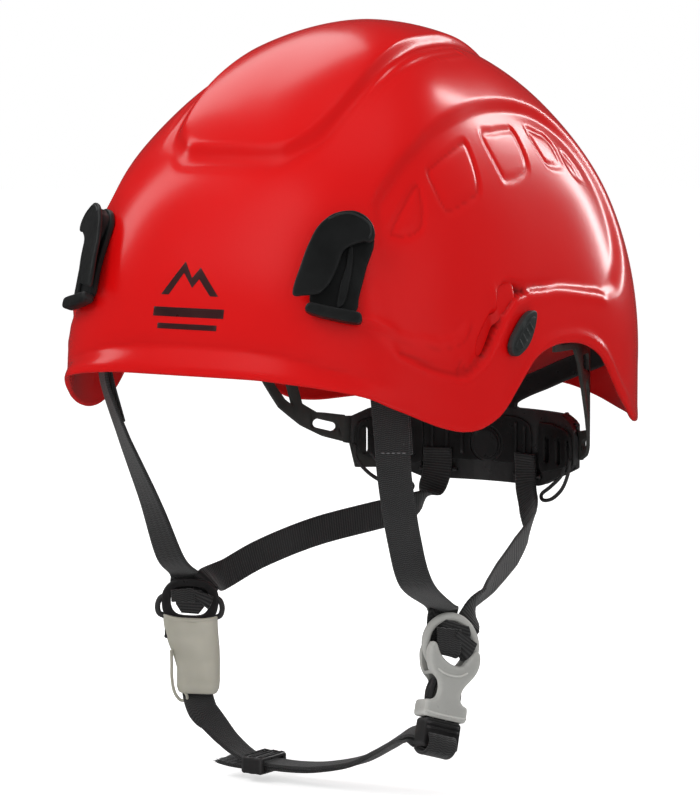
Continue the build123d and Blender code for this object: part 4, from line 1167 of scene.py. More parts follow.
def visor_plug(side, side_name):
    def place(points):
        """Between a flat plane and the shell's own side."""
        y, z, height = points.T
        return np.c_[side * (PLUG_PLANE_X * 0.55 + side_x(y, z) * 0.45 + height), y, z]
    parts = [plate("part", PLUG, -1.6, 1.6, 0.8, place, "plug", step=0.8, grid=1.6),
             plate("part", PLUG_FIELD, 1.2, 1.95, 0.35, place, "plug", step=0.8, grid=1.6)]
    # obround stem on the inner side
    along = np.array([0, math.cos(PLUG_TILT), math.sin(PLUG_TILT)])
    stem = Frame((side * 110.4, -31.5, 25.5), along, np.cross([side * 1.0, 0, 0], along))
    parts.append(plate("part", obround(0, 0, 11.6, 4.6), -6.5, -0.2, 0.6, stem.place, "plug",
                       step=0.8, grid=2.0))
    # four short slanting grip ribs
    for k in range(4):
        y, z = -35.6 + k * 2.9, 20.6 + k * 2.35
        half_y, half_z = 2.2 * 0.62, 2.2 * 0.78
        rib = np.array([(y - half_y, z + half_z, 2.0), (y, z, 2.05),
                        (y + half_y, z - half_z, 2.0)])
        parts.append(tube("part", place(rib), 0.42, "plug", step=0.6))
    own(join("visor_plug_%s_pad" % side_name, "plug", parts), "plug_" + side_name, "plug_dark",
        "visor_plug_" + side_name)


for side, side_name in SIDES:
    visor_plug(side, side_name)

# ------------------------------------------------------------------ frames of the hardware
# buckle on the left strap, divider on the right one; along points up each strap
BUCKLE_UP = unit((-0.047, 0.36, 1.0))
BUCKLE = Frame((74.8, -43.8, -150.8), square_to((0.445, 0.896, 0.0), BUCKLE_UP), BUCKLE_UP)
DIVIDER_UP = unit((0.02, 0.05, 1.0))
DIVIDER = Frame((-73.0, -31.7, -112.0), square_to((0.833, 0.553, 0.0), DIVIDER_UP), DIVIDER_UP)
# slider on the chin strap: across runs along the strap, along over its width
SLIDER_RUN = unit((21.5, 0.7, -0.2))
SLIDER = Frame((-35.0, -25.2, -185.4), SLIDER_RUN, square_to((0, 1.0, 0), SLIDER_RUN))

# ------------------------------------------------------------------ buckle, ring and tongue
BUCKLE_OUTLINE = [
    (-10.9, 0.4), (-11.3, 3.6), (-10.9, 7.0), (-8.4, 7.7), (-6.6, 8.8), (-5.7, 11), (-5.7, 14.5),
    (-6.9, 17.2), (-9.4, 19.2), (-11.6, 22.3), (-12.8, 26.5), (-13.1, 30), (-11.8, 33.4),
    (-9.4, 33.0), (-6.8, 29.0), (-3, 26.2), (1, 25.0), (5, 25.4), (7, 27.6), (8.7, 30.6),
    (10.8, 33.3), (13.5, 32.8), (14.5, 28.6), (13.7, 24.2), (11.6, 20.4), (9.4, 17.6),
    (7.6, 14.8), (6.9, 12), (7.2, 9.4), (8.9, 7.8), (10.9, 7.0), (11.3, 3.6), (10.9, 0.4),
    (7.5, -0.2), (-7.5, -0.2)]
# raised lines on the buckle's outer face: name, radius, points
BUCKLE_LINES = (
    ("buckle_lip", 0.55, [(-10.6, 2.0, 5.2), (-5, 1.5, 5.3), (5, 1.5, 5.3), (10.6, 2.0, 5.2)]),
    ("buckle_rib", 0.6, [(-7.6, 21.6, 5.2), (-4.4, 20.2, 5.4), (0, 19.8, 5.4), (4.2, 20.4, 5.4),
                         (8.0, 22.6, 5.2)]))
TONGUE_OUTLINE = [
    (-9.6, -12.8), (-8.6, -13.8), (8.6, -13.8), (9.6, -12.8), (9.6, -1.4), (8.4, -0.5),
    (-8.4, -0.5), (-9.6, -1.4)]
TONGUE_GUIDE = [(-1.9, -2), (1.9, -2), (1.9, 13.6), (0.9, 15), (-0.9, 15), (-1.9, 13.6)]
# one prong, (distance from the middle, up)
PRONG = [(4.9, -1.6), (6.4, -1.6), (7.9, 5), (8.5, 9.5), (8.4, 13), (7.0, 17.2), (5.0, 18.6),
         (4.4, 16.2), (5.7, 12.4), (5.9, 8)]


def build_buckle():
    body = plate("buckle_shell", BUCKLE_OUTLINE, -5.3, 5.3, 1.7, BUCKLE.place, "grey",
                 step=0.7, grid=1.5)
    # mouth for the tongue from below, and a narrower slot from above
    cut(body, BUCKLE.place, "grey", (-9.3, 9.3, -2, 19.9, -3.75, 3.75),
        (-18, 18, 20.4, 42, -2.15, 2.15))
    own(body, "helmet", "plastic_grey", "buckle_body")
    for name, radius, line in BUCKLE_LINES:
        own(tube(name, [BUCKLE.at(*p) for p in line], radius, "grey"), "helmet", "plastic_grey")


def build_ring():
    """Oval ring above the buckle."""
    path = [BUCKLE.at(12.7 * math.cos(a) * (1.0 + 0.03 * math.cos(2 * a)),
                      34.4 + 12.9 * math.sin(a)) for a in turn(48)]
    own(tube("harness_ring", path, 2.0, "grey", closed=True, step=1.0, sides=16,
             flat_normal=BUCKLE.out, flat_ratio=0.82), "helmet", "plastic_grey", "strap_ring")


def build_tongue():
    part = partial(plate, "part", place=BUCKLE.place, material="black", curved=False, grid=2.0)
    body = part(outline=TONGUE_OUTLINE, low=-4.2, high=4.2, radius=1.1, step=0.8)
    cut(body, BUCKLE.place, "black", (-7.5, 7.5, -10.6, -4.4, -8, 2.2))
    guide = part(outline=TONGUE_GUIDE, low=-2.2, high=2.2, radius=0.7, step=0.8)
    ribs = [part(outline=rectangle(-8.4, 8.4, v, v + 1.25), low=3.6, high=4.95, radius=0.6,
                 step=0.9) for v in (-3.4, -5.6)]
    own(join("tongue_shell", "black", [body, guide] + ribs), "chin", "plastic_black",
        "buckle_tongue")
    for side, end in ((1, "rear"), (-1, "front")):
        own(plate("prong_%s_shell" % end, [(side * u, v) for u, v in PRONG], -2.7, 2.7, 1.2,
                  BUCKLE.place, "black", step=0.7, grid=1.5),
            "prong_" + end, "plastic_black", "tongue_prong_" + end)


build_buckle()
build_ring()
build_tongue()


# ------------------------------------------------------------------ webbing
def webbing(name, path, across, width, material="web", body="helmet", nodes=(), **shape):
    own(strap(name, path, across, width, material, **shape), body, "webbing_black", *nodes)


def blended(name, path, across, width, bodies, start, end, nodes,
            material="web_ribbed", slot="webbing_black", **shape):
    """A strap that follows the first body at start and the second at end."""
    obj = strap(name, path, across, width, material, **shape)
    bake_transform(obj, *bodies, tuple(np.asarray(start, float) * MM),
             tuple(np.asarray(end, float) * MM))
    # ride only where the blend has not already bound the strap
    if obj.parent is None and "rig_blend" not in obj:
        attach(obj, bodies[0])
    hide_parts(*nodes)


def placed(hardware, points):
    return [hardware.at(*p) for p in points]


# each strap: stations (x, y, z), then the loop at its end in the hardware's frame
FRONT_LEFT = [(79.5, -95.5, 25), (79.0, -93.6, 14), (78, -92, 6), (77.6, -90.3, -1.5),
              (77.3, -87.5, -18.5), (77, -84.7, -36.8), (76.3, -76, -64.8), (75.6, -64.5, -86.5)]
FRONT_LEFT_ACROSS = [(0.80, 0.60, 0)] * 4 + [(0.82, 0.57, 0)] * 4
FRONT_LEFT_LOOP = [(-5.2, 50.5, -3.0), (-5.0, 46.6, -4.0), (-4.4, 41, -4.4), (-3.4, 35.0, -3.6),
                   (-2.4, 30.4, -1.4), (-2.1, 29.4, 1.2), (-2.4, 31.4, 3.2), (-3.2, 36.0, 3.8),
                   (-3.8, 41.0, 3.2)]
FRONT_RIGHT = [(-79.5, -95.5, 25), (-79, -93.6, 14), (-78, -92, 6), (-77.8, -90, -4),
               (-77.3, -78, -27), (-75.8, -59, -60.5), (-74.6, -45.5, -88.0)]
FRONT_RIGHT_ACROSS = [(0.75, -0.66, 0)] * 3 + [(0.76, -0.65, 0), (0.82, -0.56, 0),
                                               (0.95, -0.25, 0), (1, 0.1, 0)]
FRONT_RIGHT_LOOP = [(-3.6, 13.8, -3.4), (-3.6, 9.6, -4.3), (-3.4, 5.2, -3.6), (-3.2, 1.6, -0.9),
                    (-3.2, 1.2, 1.6), (-3.4, 3.8, 3.1), (-3.8, 7.0, 3.0)]
REAR_LEFT = [(25.4, 112.9, -48), (25.6, 113.6, -55), (26.6, 112.4, -64), (30.5, 108.5, -72.5),
             (37, 99.5, -78.2), (44, 86, -81.2), (52, 61, -88), (62.5, 25, -95.5),
             (71.0, -5, -101.2)]
REAR_LEFT_ACROSS = [(0.95, -0.28, 0), (0.95, -0.28, 0), (0.95, -0.30, 0.1), (0.9, -0.4, 0.25),
                    (0.65, -0.45, 0.6), (0.35, -0.35, 0.87), (0.1, -0.2, 1), (0.1, 0.25, 1),
                    (0.35, 0.5, 0.8)]
REAR_LEFT_LOOP = [(9.5, 47.6, -2.4), (8.6, 44.6, -3.9), (7.2, 41.0, -4.4), (5.0, 36.6, -3.4),
                  (3.6, 33.2, -0.9), (3.5, 32.8, 1.9), (4.4, 35.3, 3.9), (5.8, 38.9, 4.1)]
REAR_RIGHT = [(-25.4, 112.9, -48), (-25.6, 113.6, -55), (-26.2, 112.0, -64),
              (-28.5, 106.5, -72.5), (-33, 94, -77.5), (-40, 76, -79.8), (-53.5, 45, -85),
              (-64.5, 15, -93), (-70.3, -8, -101)]
REAR_RIGHT_ACROSS = [(0.95, 0.28, 0), (0.95, 0.28, 0), (0.9, 0.35, 0.2), (0.55, 0.35, 0.75),
                     (0.2, 0.15, 1), (0, -0.1, 1), (0, -0.1, 1), (0, -0.1, 1), (-0.1, -0.3, 1)]
REAR_RIGHT_LOOP = [(8.2, 11.4, -3.2), (7.2, 8.2, -4.2), (6.2, 5.0, -3.6), (5.2, 2.2, -1.4),
                   (4.8, 1.4, 1.2), (5.4, 3.2, 2.9), (6.2, 5.6, 3.0)]


def front_and_rear_webbing():
    webbing("front_webbing_left", FRONT_LEFT + placed(BUCKLE, FRONT_LEFT_LOOP),
            FRONT_LEFT_ACROSS + [BUCKLE.across] * 9,
            [16.2] * 4 + [15.6, 15.2, 15, 15]
            + [14.4, 13.6, 13.0, 12.6, 12.2, 12.0, 12.2, 12.6, 12.8],
            nodes=("front_strap_left",), crown=0.25)
    webbing("front_webbing_right", FRONT_RIGHT + placed(DIVIDER, FRONT_RIGHT_LOOP),
            FRONT_RIGHT_ACROSS + [DIVIDER.across] * 7,
            [15.6] * 7 + [14, 13, 12, 11.6, 11.4, 11.2, 11],
            nodes=("front_strap_right",), crown=0.2)
    # rear straps run from the yoke's lower slots forward to the ring and the divider
    slanted = unit(BUCKLE.across * 0.72 - BUCKLE.along * 0.70)
    blended("rear_webbing_left", REAR_LEFT + placed(BUCKLE, REAR_LEFT_LOOP),
            REAR_LEFT_ACROSS + [slanted] * 8,
            [14.5] * 9 + [13.4, 12.6, 12.2, 12.0, 12, 12, 12, 12],
            ("nape", "helmet"), (26, 113, -60), (44, 86, -81),
            nodes=("rear_strap_left", "rear_strap_tab_left"), ripple=0.10)
    slanted = unit(DIVIDER.across * 0.78 - DIVIDER.along * 0.62)
    blended("rear_webbing_right", REAR_RIGHT + placed(DIVIDER, REAR_RIGHT_LOOP),
            REAR_RIGHT_ACROSS + [slanted] * 7,
            [14.5] * 9 + [13, 12, 11.4, 11, 11, 11, 10.6],
            ("nape", "helmet"), (-26, 113, -60), (-40, 76, -80),
            nodes=("rear_strap_right", "rear_strap_tab_right", "strap_loops_left",
                   "strap_loops_right"), ripple=0.10)


def folds():
    """Second layers on the front straps, with thread rows on the left, and thick folds inside the ring and
    the divider.
    """
    webbing("front_fold_left",
            [(78.3, -90.4, 12), (77.8, -89.2, 1), (77.4, -86.3, -14), (77.2, -84.4, -27)],
            FRONT_LEFT_ACROSS[:4], 15.4, thick=1.3, crown=0.2)
    half_row = unit(FRONT_LEFT_ACROSS[4]) * 11.5 / 2
    for k, z in enumerate((-17.5, -21.5, -25.5)):
        centre = np.array([77.9, -87.3 + 0.05 * k, z])
        stitches("front_tack_left_%d" % k, centre - half_row, centre + half_row,
                 (0.57, -0.82, 0.05), "helmet", radius=0.30, gap=0.55)
    webbing("front_fold_right", [(-78.4, -88.5, 10), (-78.0, -86.6, -1), (-77.6, -79.5, -19)],
            [(0.75, -0.66, 0)] * 3, 15, thick=1.3, crown=0.2)
    # where the two straps meet inside the ring and the divider
    webbing("ring_fold",
            placed(BUCKLE, [(1.2, 44.4, 0.3), (1.0, 41, 0.7), (0.6, 36, 0.5), (0.2, 31.6, 0.1)]),
            [BUCKLE.across] * 4, [13, 16, 15.2, 9.5], thick=3.0, material="web_ribbed")
    webbing("divider_fold",
            placed(DIVIDER, [(0.2, 6.2, 0.2), (0.3, 3.4, 0.6), (0.3, -1.0, 0.5),
                             (0.2, -4.6, 0.1)]),
            [DIVIDER.across] * 4, [9.5, 15, 14, 8.5], thick=2.8, material="web_ribbed")


front_and_rear_webbing()
folds()

# ------------------------------------------------------------------ divider and its sleeve
DIVIDER_OUTLINE = [
    (-5, 11.6), (5, 11.6), (10.4, 9.2), (13.4, 4.2), (13.2, -2.6), (11.6, -7.4), (11.4, -14.6),
    (9.6, -17.3), (-9.6, -17.3), (-11.4, -14.6), (-11.6, -7.4), (-13.2, -2.6), (-13.4, 4.2),
    (-10.4, 9.2)]
DIVIDER_HOLES = (
    [(-4.6, 7.6), (4.6, 7.6), (8.3, 5.0), (9.2, 0.8), (8.0, -3.4), (4.4, -5.6), (-4.4, -5.6),
     (-8.0, -3.4), (-9.2, 0.8), (-8.3, 5.0)],
    [(-7.4, -11.9), (7.4, -11.9), (7.6, -14.2), (6.8, -14.9), (-6.8, -14.9), (-7.6, -14.2)])
DIVIDER_EAR = [(12.0, -6.5), (14.6, -5.2), (15.4, -1.8), (14.4, 1.6), (12.4, 3.2)]
# sleeve sections: along, half width, half thickness, centre across
SLEEVE_SECTIONS = np.array([
    (-6.2, 12.0, 4.2, 0.6), (-7.6, 13.0, 5.2, 0.5), (-10.5, 12.9, 5.0, 0.8), (-15, 12.6, 4.7, 1.6),
    (-20, 12.1, 4.5, 2.8), (-26, 11.0, 4.4, 4.4), (-31, 10.3, 4.6, 5.3), (-36, 10.3, 4.8, 5.5),
    (-40, 10.1, 4.7, 5.5), (-42.2, 9.2, 4.2, 5.4), (-42.8, 8.4, 3.7, 5.4)])
SLEEVE_WALL = 1.5
SLEEVE_LOOP = [(-7.8, -22.5, 3.0), (-7.4, -29, 3.4), (-7.0, -36, 3.0), (-5.6, -42.4, 2.0),
               (-2.6, -46.4, 1.4), (0.6, -45.4, 2.0), (-0.6, -41.6, 3.6)]


def build_divider():
    body = plate("part", DIVIDER_OUTLINE, -1.9, 1.9, 1.0, DIVIDER.place, "black",
                 step=0.8, grid=2.0, holes=DIVIDER_HOLES)
    ears = [tube("part", [DIVIDER.at(side * u, v) for u, v in DIVIDER_EAR], 1.35, "black",
                 sides=10) for side in (1, -1)]
    own(join("divider_shell", "black", [body] + ears), "helmet", "plastic_black",
        "strap_divider")


def sleeve_point(section, index, angle, inner):
    """Point of a rounded slot section, with soft ribs on the outer skin."""
    along, half_width, half_thick, centre = section
    if inner:
        half_width, half_thick = half_width - SLEEVE_WALL, half_thick - SLEEVE_WALL
    cos, sin = np.float64(math.cos(angle)), np.float64(math.sin(angle))
    x = half_width * signed_power(cos, 0.62)
    y = half_thick * signed_power(sin, 0.85)
    rib = 0
    if not inner and abs(x) < half_width * 0.9:
        rib = (0.45 * math.sin(0.22 * along + 0.25 * x) * math.exp(-((x - 1.5) / 5.5) ** 2)
               + 0.25 * math.sin(0.55 * along + 0.8))
    wave = 0.5 * math.cos(2 * angle) if index < 5 else 0
    return DIVIDER.at(centre + x, along + wave, y + (rib if y > 0 else -rib))


def build_sleeve():
    """Flattened soft tube with a wall, open at both ends."""
    rows, sides = 46, 56
    stations = np.linspace(0, len(SLEEVE_SECTIONS) - 1, rows)
    sections = np.stack([np.interp(stations, range(len(SLEEVE_SECTIONS)), column)
                         for column in SLEEVE_SECTIONS.T], 1)
    verts = [sleeve_point(section, i, 2 * math.pi * k / sides, inner) for inner in (0, 1)
             for i, section in enumerate(sections) for k in range(sides)]
    skin = rows * sides
    faces = band_faces(rows, sides) + band_faces(rows, sides, skin)
    for start in (0, skin - sides):
        faces += [(a, b, b + skin, a + skin) for a, b in ring_edges(start, sides)]
    own(fix_normals(to_object("sleeve_soft", verts, faces, "sleeve")), "helmet", "sleeve_clear",
        "strap_sleeve")
    lip = [DIVIDER.at(0.5 + 12.5 * math.cos(a), -7.0 + 0.8 * math.cos(2 * a), 4.7 * math.sin(a))
           for a in turn(39)]
    own(tube("sleeve_lip", lip, 0.85, "sleeve", closed=True, step=0.9), "helmet", "sleeve_clear")
    own(tube("sleeve_loop", placed(DIVIDER, SLEEVE_LOOP), 0.75, "sleeve", step=0.7),
        "helmet", "sleeve_clear")


build_divider()
build_sleeve()

# ------------------------------------------------------------------ chin strap
# from the divider through the sleeve, under the chin, then round the tongue's bar
CHIN_TOP = [(0, -9.5, 2.0), (0, -16.5, 0.8), (1.6, -25, 0), (4.2, -34, 0), (5.2, -42.5, -0.4)]
CHIN_RUN = [
    (-65.4, -32.6, -162.2), (-61.0, -30.6, -167.6), (-54, -28, -175.8), (-46.8, -26.2, -181.6),
    (-39.5, -25.4, -184.7), (-30.5, -25.05, -185.0), (-18, -24.7, -185.1), (-2, -24.7, -183.6),
    (18.5, -26, -178.5), (36, -29.5, -169.5), (50, -35.5, -161.8), (60, -40.2, -158.6)]
CHIN_WRAP = [(-0.4, -8.4, -6.0), (0, -7.4, 0.0), (0, -8.2, 4.6), (0, -11.2, 6.3),
             (0, -14.6, 5.2), (0, -16.4, 1.2), (0, -15.8, -3.4), (-0.4, -13.4, -6.6)]
CHIN_ACROSS = [DIVIDER.across] * 4 + [
    (0.78, 0.60, 0), (0.55, 0.82, 0.1), (0.3, 0.95, 0.1), (0.1, 0.99, 0.05), (0.05, 1, 0),
    (0, 1, 0), (0, 1, 0), (0, 1, 0), (0, 1, 0.03), (0, 1, 0.08), (-0.05, 1, 0.12),
    (-0.1, 1, 0.2), (0.1, 0.97, 0.2)] + [BUCKLE.across] * 8
# the upper layer's line, which the second layer follows a little lower
UNDER_RUN = [
    (-38, -25.35, -184.7), (-30.5, -25.05, -185.0), (-18, -24.7, -185.1), (-2, -24.7, -183.6),
    (18.5, -26, -178.5), (36, -29.5, -169.6), (49.5, -35.4, -162.3), (60, -40.4, -159.4)]
TAIL = [(-27, -25.0, -187.4), (-33, -25.1, -187.5), (-38.5, -25.2, -187.6),
        (-44.5, -25.4, -187.6), (-51.0, -25.8, -187.2), (-57.0, -26.4, -186.2)]


def chin_webbing():
    blended("chin_webbing",
            placed(DIVIDER, CHIN_TOP) + CHIN_RUN + placed(BUCKLE, CHIN_WRAP), CHIN_ACROSS,
            [13.6, 14, 14, 14, 14.4] + [15] * 11 + [14.6] + [14.4] * 8,
            ("helmet", "chin"), DIVIDER.at(4, -39), (-61, -31, -167.6),
            nodes=("sleeve_strap", "chin_strap"), material="web", thick=1.45)
    webbing("chin_webbing_under",
            [(x + 0.2, y, z - 1.8) for x, y, z in UNDER_RUN] + [BUCKLE.at(-0.8, -13.0, -7.6)],
            [(0, 1, 0)] * 7 + [(0.1, 0.97, 0.2), BUCKLE.across], 14.6, body="chin", thick=1.3)
    webbing("chin_tail", TAIL, [(0, 1, 0)] * 6, [14.2, 14.2, 14.2, 14.4, 14.6, 14.8],
            body="chin", thick=1.7)
    for k, (x, z) in enumerate(((-47.5, -186.4), (-50.5, -186.2), (-53.5, -185.8))):
        stitches("tail_tack_%d" % k, (x, -33.2, z), (x, -18.6, z), (0.05, 0, 1), "chin",
                 radius=0.32, gap=0.5)


def tail_fibres():
    """Loose fibres at the tail's cut end."""
    rng = np.random.default_rng(7)

    def spread():
        return rng.random() - 0.5
    verts, faces = [], []
    for _ in range(60):
        y = -34.4 + 14.8 * rng.random()
        root = np.array([-56.8, y + 1.4, -186.2 + 1.0 * spread()])
        direction = unit((-0.9 + 0.5 * spread(), 0.8 * spread(), 0.15 + 0.9 * spread()))
        length = 0.8 + 1.7 * rng.random()
        side = unit(np.cross(direction, (0.3, 0.2, 0.9)))
        other = np.cross(direction, side)
        base = len(verts)
        for t, radius in ((0, 0.13), (0.5, 0.11), (1.0, 0.06)):
            centre = root + direction * length * t + np.array([0, 0, -0.35]) * t * t
            verts += [centre + side * math.cos(a) * radius + other * math.sin(a) * radius
                      for a in turn(4)]
        faces += band_faces(3, 4, base)
        faces += [(base, base + 3, base + 2, base + 1),
                  (base + 8, base + 9, base + 10, base + 11)]
    own(fix_normals(to_object("tail_fibres", verts, faces, "web", uvs=[(0, 0)] * len(verts))),
        "chin", "webbing_black")


SLIDER_OUTLINE = [
    (-4.6, -10.9), (4.6, -10.9), (5.6, -9.8), (5.9, 0), (5.6, 9.8), (4.6, 10.9), (-4.6, 10.9),
    (-5.6, 9.8), (-5.9, 0), (-5.6, -9.8)]


def chin_slider():
    body = plate("part", SLIDER_OUTLINE, -4.3, 4.0, 1.3, SLIDER.place, "black", step=0.8,
                 grid=2.0, holes=(rectangle(-3.8, -1.1, -8, 8), rectangle(1.1, 3.8, -8, 8)))
    cut(body, SLIDER.place, "black", (-14, 14, -8.4, 8.4, -3.1, 2.2))
    ribs = [plate("part", rectangle(u - 0.45, u + 0.45, -9.3, 9.3), 3.6, 4.5, 0.35,
                  SLIDER.place, "black", step=1.0, curved=False, grid=2.5)
            for u in (-4.7, 0.0, 4.7)]
    own(join("slider_shell", "black", [body] + ribs), "slider", "plastic_black", "chin_slider")


chin_webbing()
tail_fibres()
chin_slider()

# ------------------------------------------------------------------ rear hangers
# left one; the right one mirrors x
HANGER = [(12.0, 119.7, -27.5), (13.5, 119.6, -21), (20, 121.0, -16.2), (30, 123.6, -11.6),
          (41, 125.0, -6.6), (52, 125.5, -2.2), (61, 124.9, 1.2), (66, 122.5, 5.5)]
for side, side_name in SIDES:
    blended("rear_hanger_%s_strip" % side_name, [(side * x, y, z) for x, y, z in HANGER],
            [(side * 0.9, 0, -0.35)] + [(side * 0.35, 0.05, -1)] * 7,
            [9, 9.6, 10.4, 10.6, 10.6, 10.6, 10.2, 9],
            ("nape", "helmet"), (side * 20, 121, -16), (side * 58, 125, 0),
            nodes=("rear_hanger_" + side_name,), material="black", slot="plastic_black",
            thick=1.9)


# ------------------------------------------------------------------ foam liner and cradle
def build_liner():
    """Foam cap inside the shell, with channels moulded into its inner face."""
    columns, rows, base_z = 168, 44, 72.5
    angles = turn(columns)

    def dome_rings(offset):
        top = (DOME_HEIGHT + offset) * 0.9999
        rings = []
        for z in base_z + (top - base_z) * np.sin(np.linspace(0, 1, rows) * math.pi / 2):
            x, y = dome_xy(angles, np.full(columns, z), offset)
            rings.append(np.stack([x, y, np.full(columns, z)], 1))
        return rings
    outer, inner = dome_rings(-7.4), dome_rings(-17.6)
    for i, ring in enumerate(inner):
        x, y = ring[:, 0], ring[:, 1]
        channel = np.zeros(columns)
        for line_x in (-46, 46):
            channel = np.maximum(channel, ridge(x - line_x, 5.0))
        for line_y in (-62, 0, 64):
            channel = np.maximum(channel, ridge(y - line_y, 5.5) * (np.abs(x) > 14))
        outward = ring - np.array([0, DOME_SHIFT, 40.0])
        outward /= np.linalg.norm(outward, axis=1)[:, None]
        inner[i] = ring + outward * (3.6 * smooth(channel))[:, None]
    rings = inner[::-1] + outer
    verts, faces = capped_rings(rings, rings[0].mean(0), rings[-1].mean(0))
    own(fix_normals(to_object("foam_liner", verts, faces, "foam")), "helmet", "foam_dark",
        "crown_liner")


# name, plan angle of its first end from the front, reach of the two ends, top height
CRADLE = (("long", 0, (104, 110), 130.6), ("left", 58, (90, 90), 128.6),
          ("right", -58, (90, 90), 126.6))
CRADLE_BASE_Z = 46


def cradle_strap(name, degrees, reaches, top):
    """Arched tape from one side of the head to the other, kept clear of the liner."""
    angle = math.radians(degrees)
    path = []
    for i in range(25):
        cos = math.cos(math.pi * i / 24)
        sin = abs(math.sin(math.pi * i / 24)) ** 0.9
        z = CRADLE_BASE_Z + (top - CRADLE_BASE_Z - 0.7) * sin
        end = 1 if cos > 0 else -1
        reach = reaches[0] if cos > 0 else reaches[1]
        direction = (end * math.sin(angle), -end * math.cos(angle))
        clear = min(dome_radius(direction, z + up, -17.9) for up in (0, 2)) - 4.9
        radius = 0.0
        if abs(cos) > 1e-6:
            radius = min(reach - 0.6, clear, reach * abs(cos) ** 0.62)
        path.append((direction[0] * radius, direction[1] * radius, z))
    webbing("cradle_webbing_" + name, path, [(math.cos(angle), math.sin(angle), 0)] * 25, 19.6,
            nodes=("cradle_strap_" + name,), thick=1.2, step=2.0)


build_liner()
for row in CRADLE:
    cradle_strap(*row)


# ------------------------------------------------------------------ pads
def crown_pad():
    """Padded disc on a sphere cap, with sewn spokes and one sewn ring."""
    pad_radius, sphere, sides, rows = 34.0, 113.4, 72, 16
    centre_z = 124.4 - 116.0
    verts = []
    for face in (1, -1):
        for i in range(rows + 1):
            r = pad_radius * i / rows
            for k in range(sides):
                a = 2 * math.pi * k / sides
                spoke = min(abs(math.sin(a * 3)) * r / 2.2, 1.0) if r > 6 else 1.0
                ring = min(abs(r - 20) / 2.2, 1.0)
                thick = 2.4 * (1 - (r / pad_radius) ** 6) ** 0.5
                thick *= 0.45 + 0.55 * smooth(min(spoke, ring))
                z = centre_z + math.sqrt(sphere ** 2 - r * r) + face * thick
                verts.append((r * math.cos(a), r * math.sin(a), z))
    layer = (rows + 1) * sides
    faces = band_faces(rows + 1, sides) + band_faces(rows + 1, sides, layer)
    faces += [(a, b, b + layer, a + layer) for a, b in ring_edges(rows * sides, sides)]
    own(fix_normals(to_object("crown_cushion", verts, faces, "pad"), weld=True),
        "helmet", "pad_black", "crown_pad")


def brow_pad():
    """Forehead pad on the headband's inner side, with sewn cross channels."""
    columns, rows, pitch = 150, 22, 13.2
    verts = []
    for face in (1, -1):
        for i in range(columns + 1):
            a = math.radians(-66 + 132 * i / columns)
            near_end = min(1.0, min(i, columns - i) / 7.0)
            end = math.sqrt(max(0.0, 1 - (1 - near_end) ** 2))
            half_height = 14.0 * (0.82 + 0.18 * end)
            seam = min(1.0, abs(((math.degrees(a) + 66 + pitch / 2) % pitch) - pitch / 2) / 1.5)
            for j in range(rows + 1):
                up = -1 + 2 * j / rows
                puff = (1 - abs(up) ** 5) ** 0.5 * (0.15 + 0.85 * end)
                puff *= 0.5 + 0.5 * smooth(seam)
                r = 80.0 - 2.95 + face * 2.3 * puff - 0.2
                verts.append((r * math.sin(a), -2.0 - (r + 20.0) * math.cos(a),
                              29.0 + half_height * up))
    row = rows + 1
    layer = (columns + 1) * row
    faces = [(a, a + row, a + row + 1, a + 1) for start in (0, layer)
             for i in range(columns) for a in range(start + i * row, start + i * row + rows)]
    for i in range(columns):
        for a in (i * row, i * row + rows):
            faces.append((a, a + row, a + row + layer, a + layer))
    for i in (0, columns):
        for a in range(i * row, i * row + rows):
            faces.append((a, a + 1, a + 1 + layer, a + layer))
    own(fix_normals(to_object("brow_cushion", verts, faces, "pad"), weld=True),
        "helmet", "pad_black", "brow_pad")


crown_pad()
brow_pad()

# ------------------------------------------------------------------ yoke mouldings
# on the yoke's inner face, a cylinder about a vertical axis at y = 27
YOKE_RADIUS = 92.6
HUB_Z = -45
# outlines as (degrees from the middle, z)
YOKE_CORE = [(-21, -36), (-17, -31.5), (-10, -30.2), (8, -30.2), (14, -31.5), (17.5, -36),
             (17.5, -50), (15, -53.4), (-15, -53.4), (-20, -50)]
YOKE_WING = [(21.5, -34.5), (24, -31.5), (36, -33.0), (42, -36.5), (42.5, -47.5), (38, -51.5),
             (26, -55.5), (21.8, -54)]
# ribs: degrees, low z, high z
YOKE_RIBS = ((-18.4, -48.5, -35), (-13.6, -50, -33.5), (-8.6, -50.5, -33), (11.5, -50.5, -33),
             (15.2, -49, -34.5))
# thin loop below a wing: degrees, z, height
SIZE_LOOP = (
    (43, -47, 1.2), (42.4, -54, 2.0), (38, -62, 2.6), (31, -68, 2.8), (25.5, -69.5, 2.6),
    (24.6, -66.8, 2.4), (29, -62.6, 2.0), (35, -56.6, 1.4), (38, -51, 0.8))


def arc(degrees):
    return math.radians(degrees) * YOKE_RADIUS


def on_yoke(points):
    """Maps (arc length, z, height towards the wearer) to the cylinder."""
    angle = points[:, 0] / YOKE_RADIUS
    radius = YOKE_RADIUS - points[:, 2]
    return np.stack([radius * np.sin(angle), 27.0 + radius * np.cos(angle), points[:, 1]], 1)


def hub_oval(half_width, half_height, count=24):
    return [(half_width * math.cos(a), HUB_Z + half_height * math.sin(a)) for a in turn(count)]


def yoke_plate(name, outline, low, high, radius, **options):
    own(plate(name, outline, low, high, radius, on_yoke, "black", **options),
        "nape", "plastic_black")


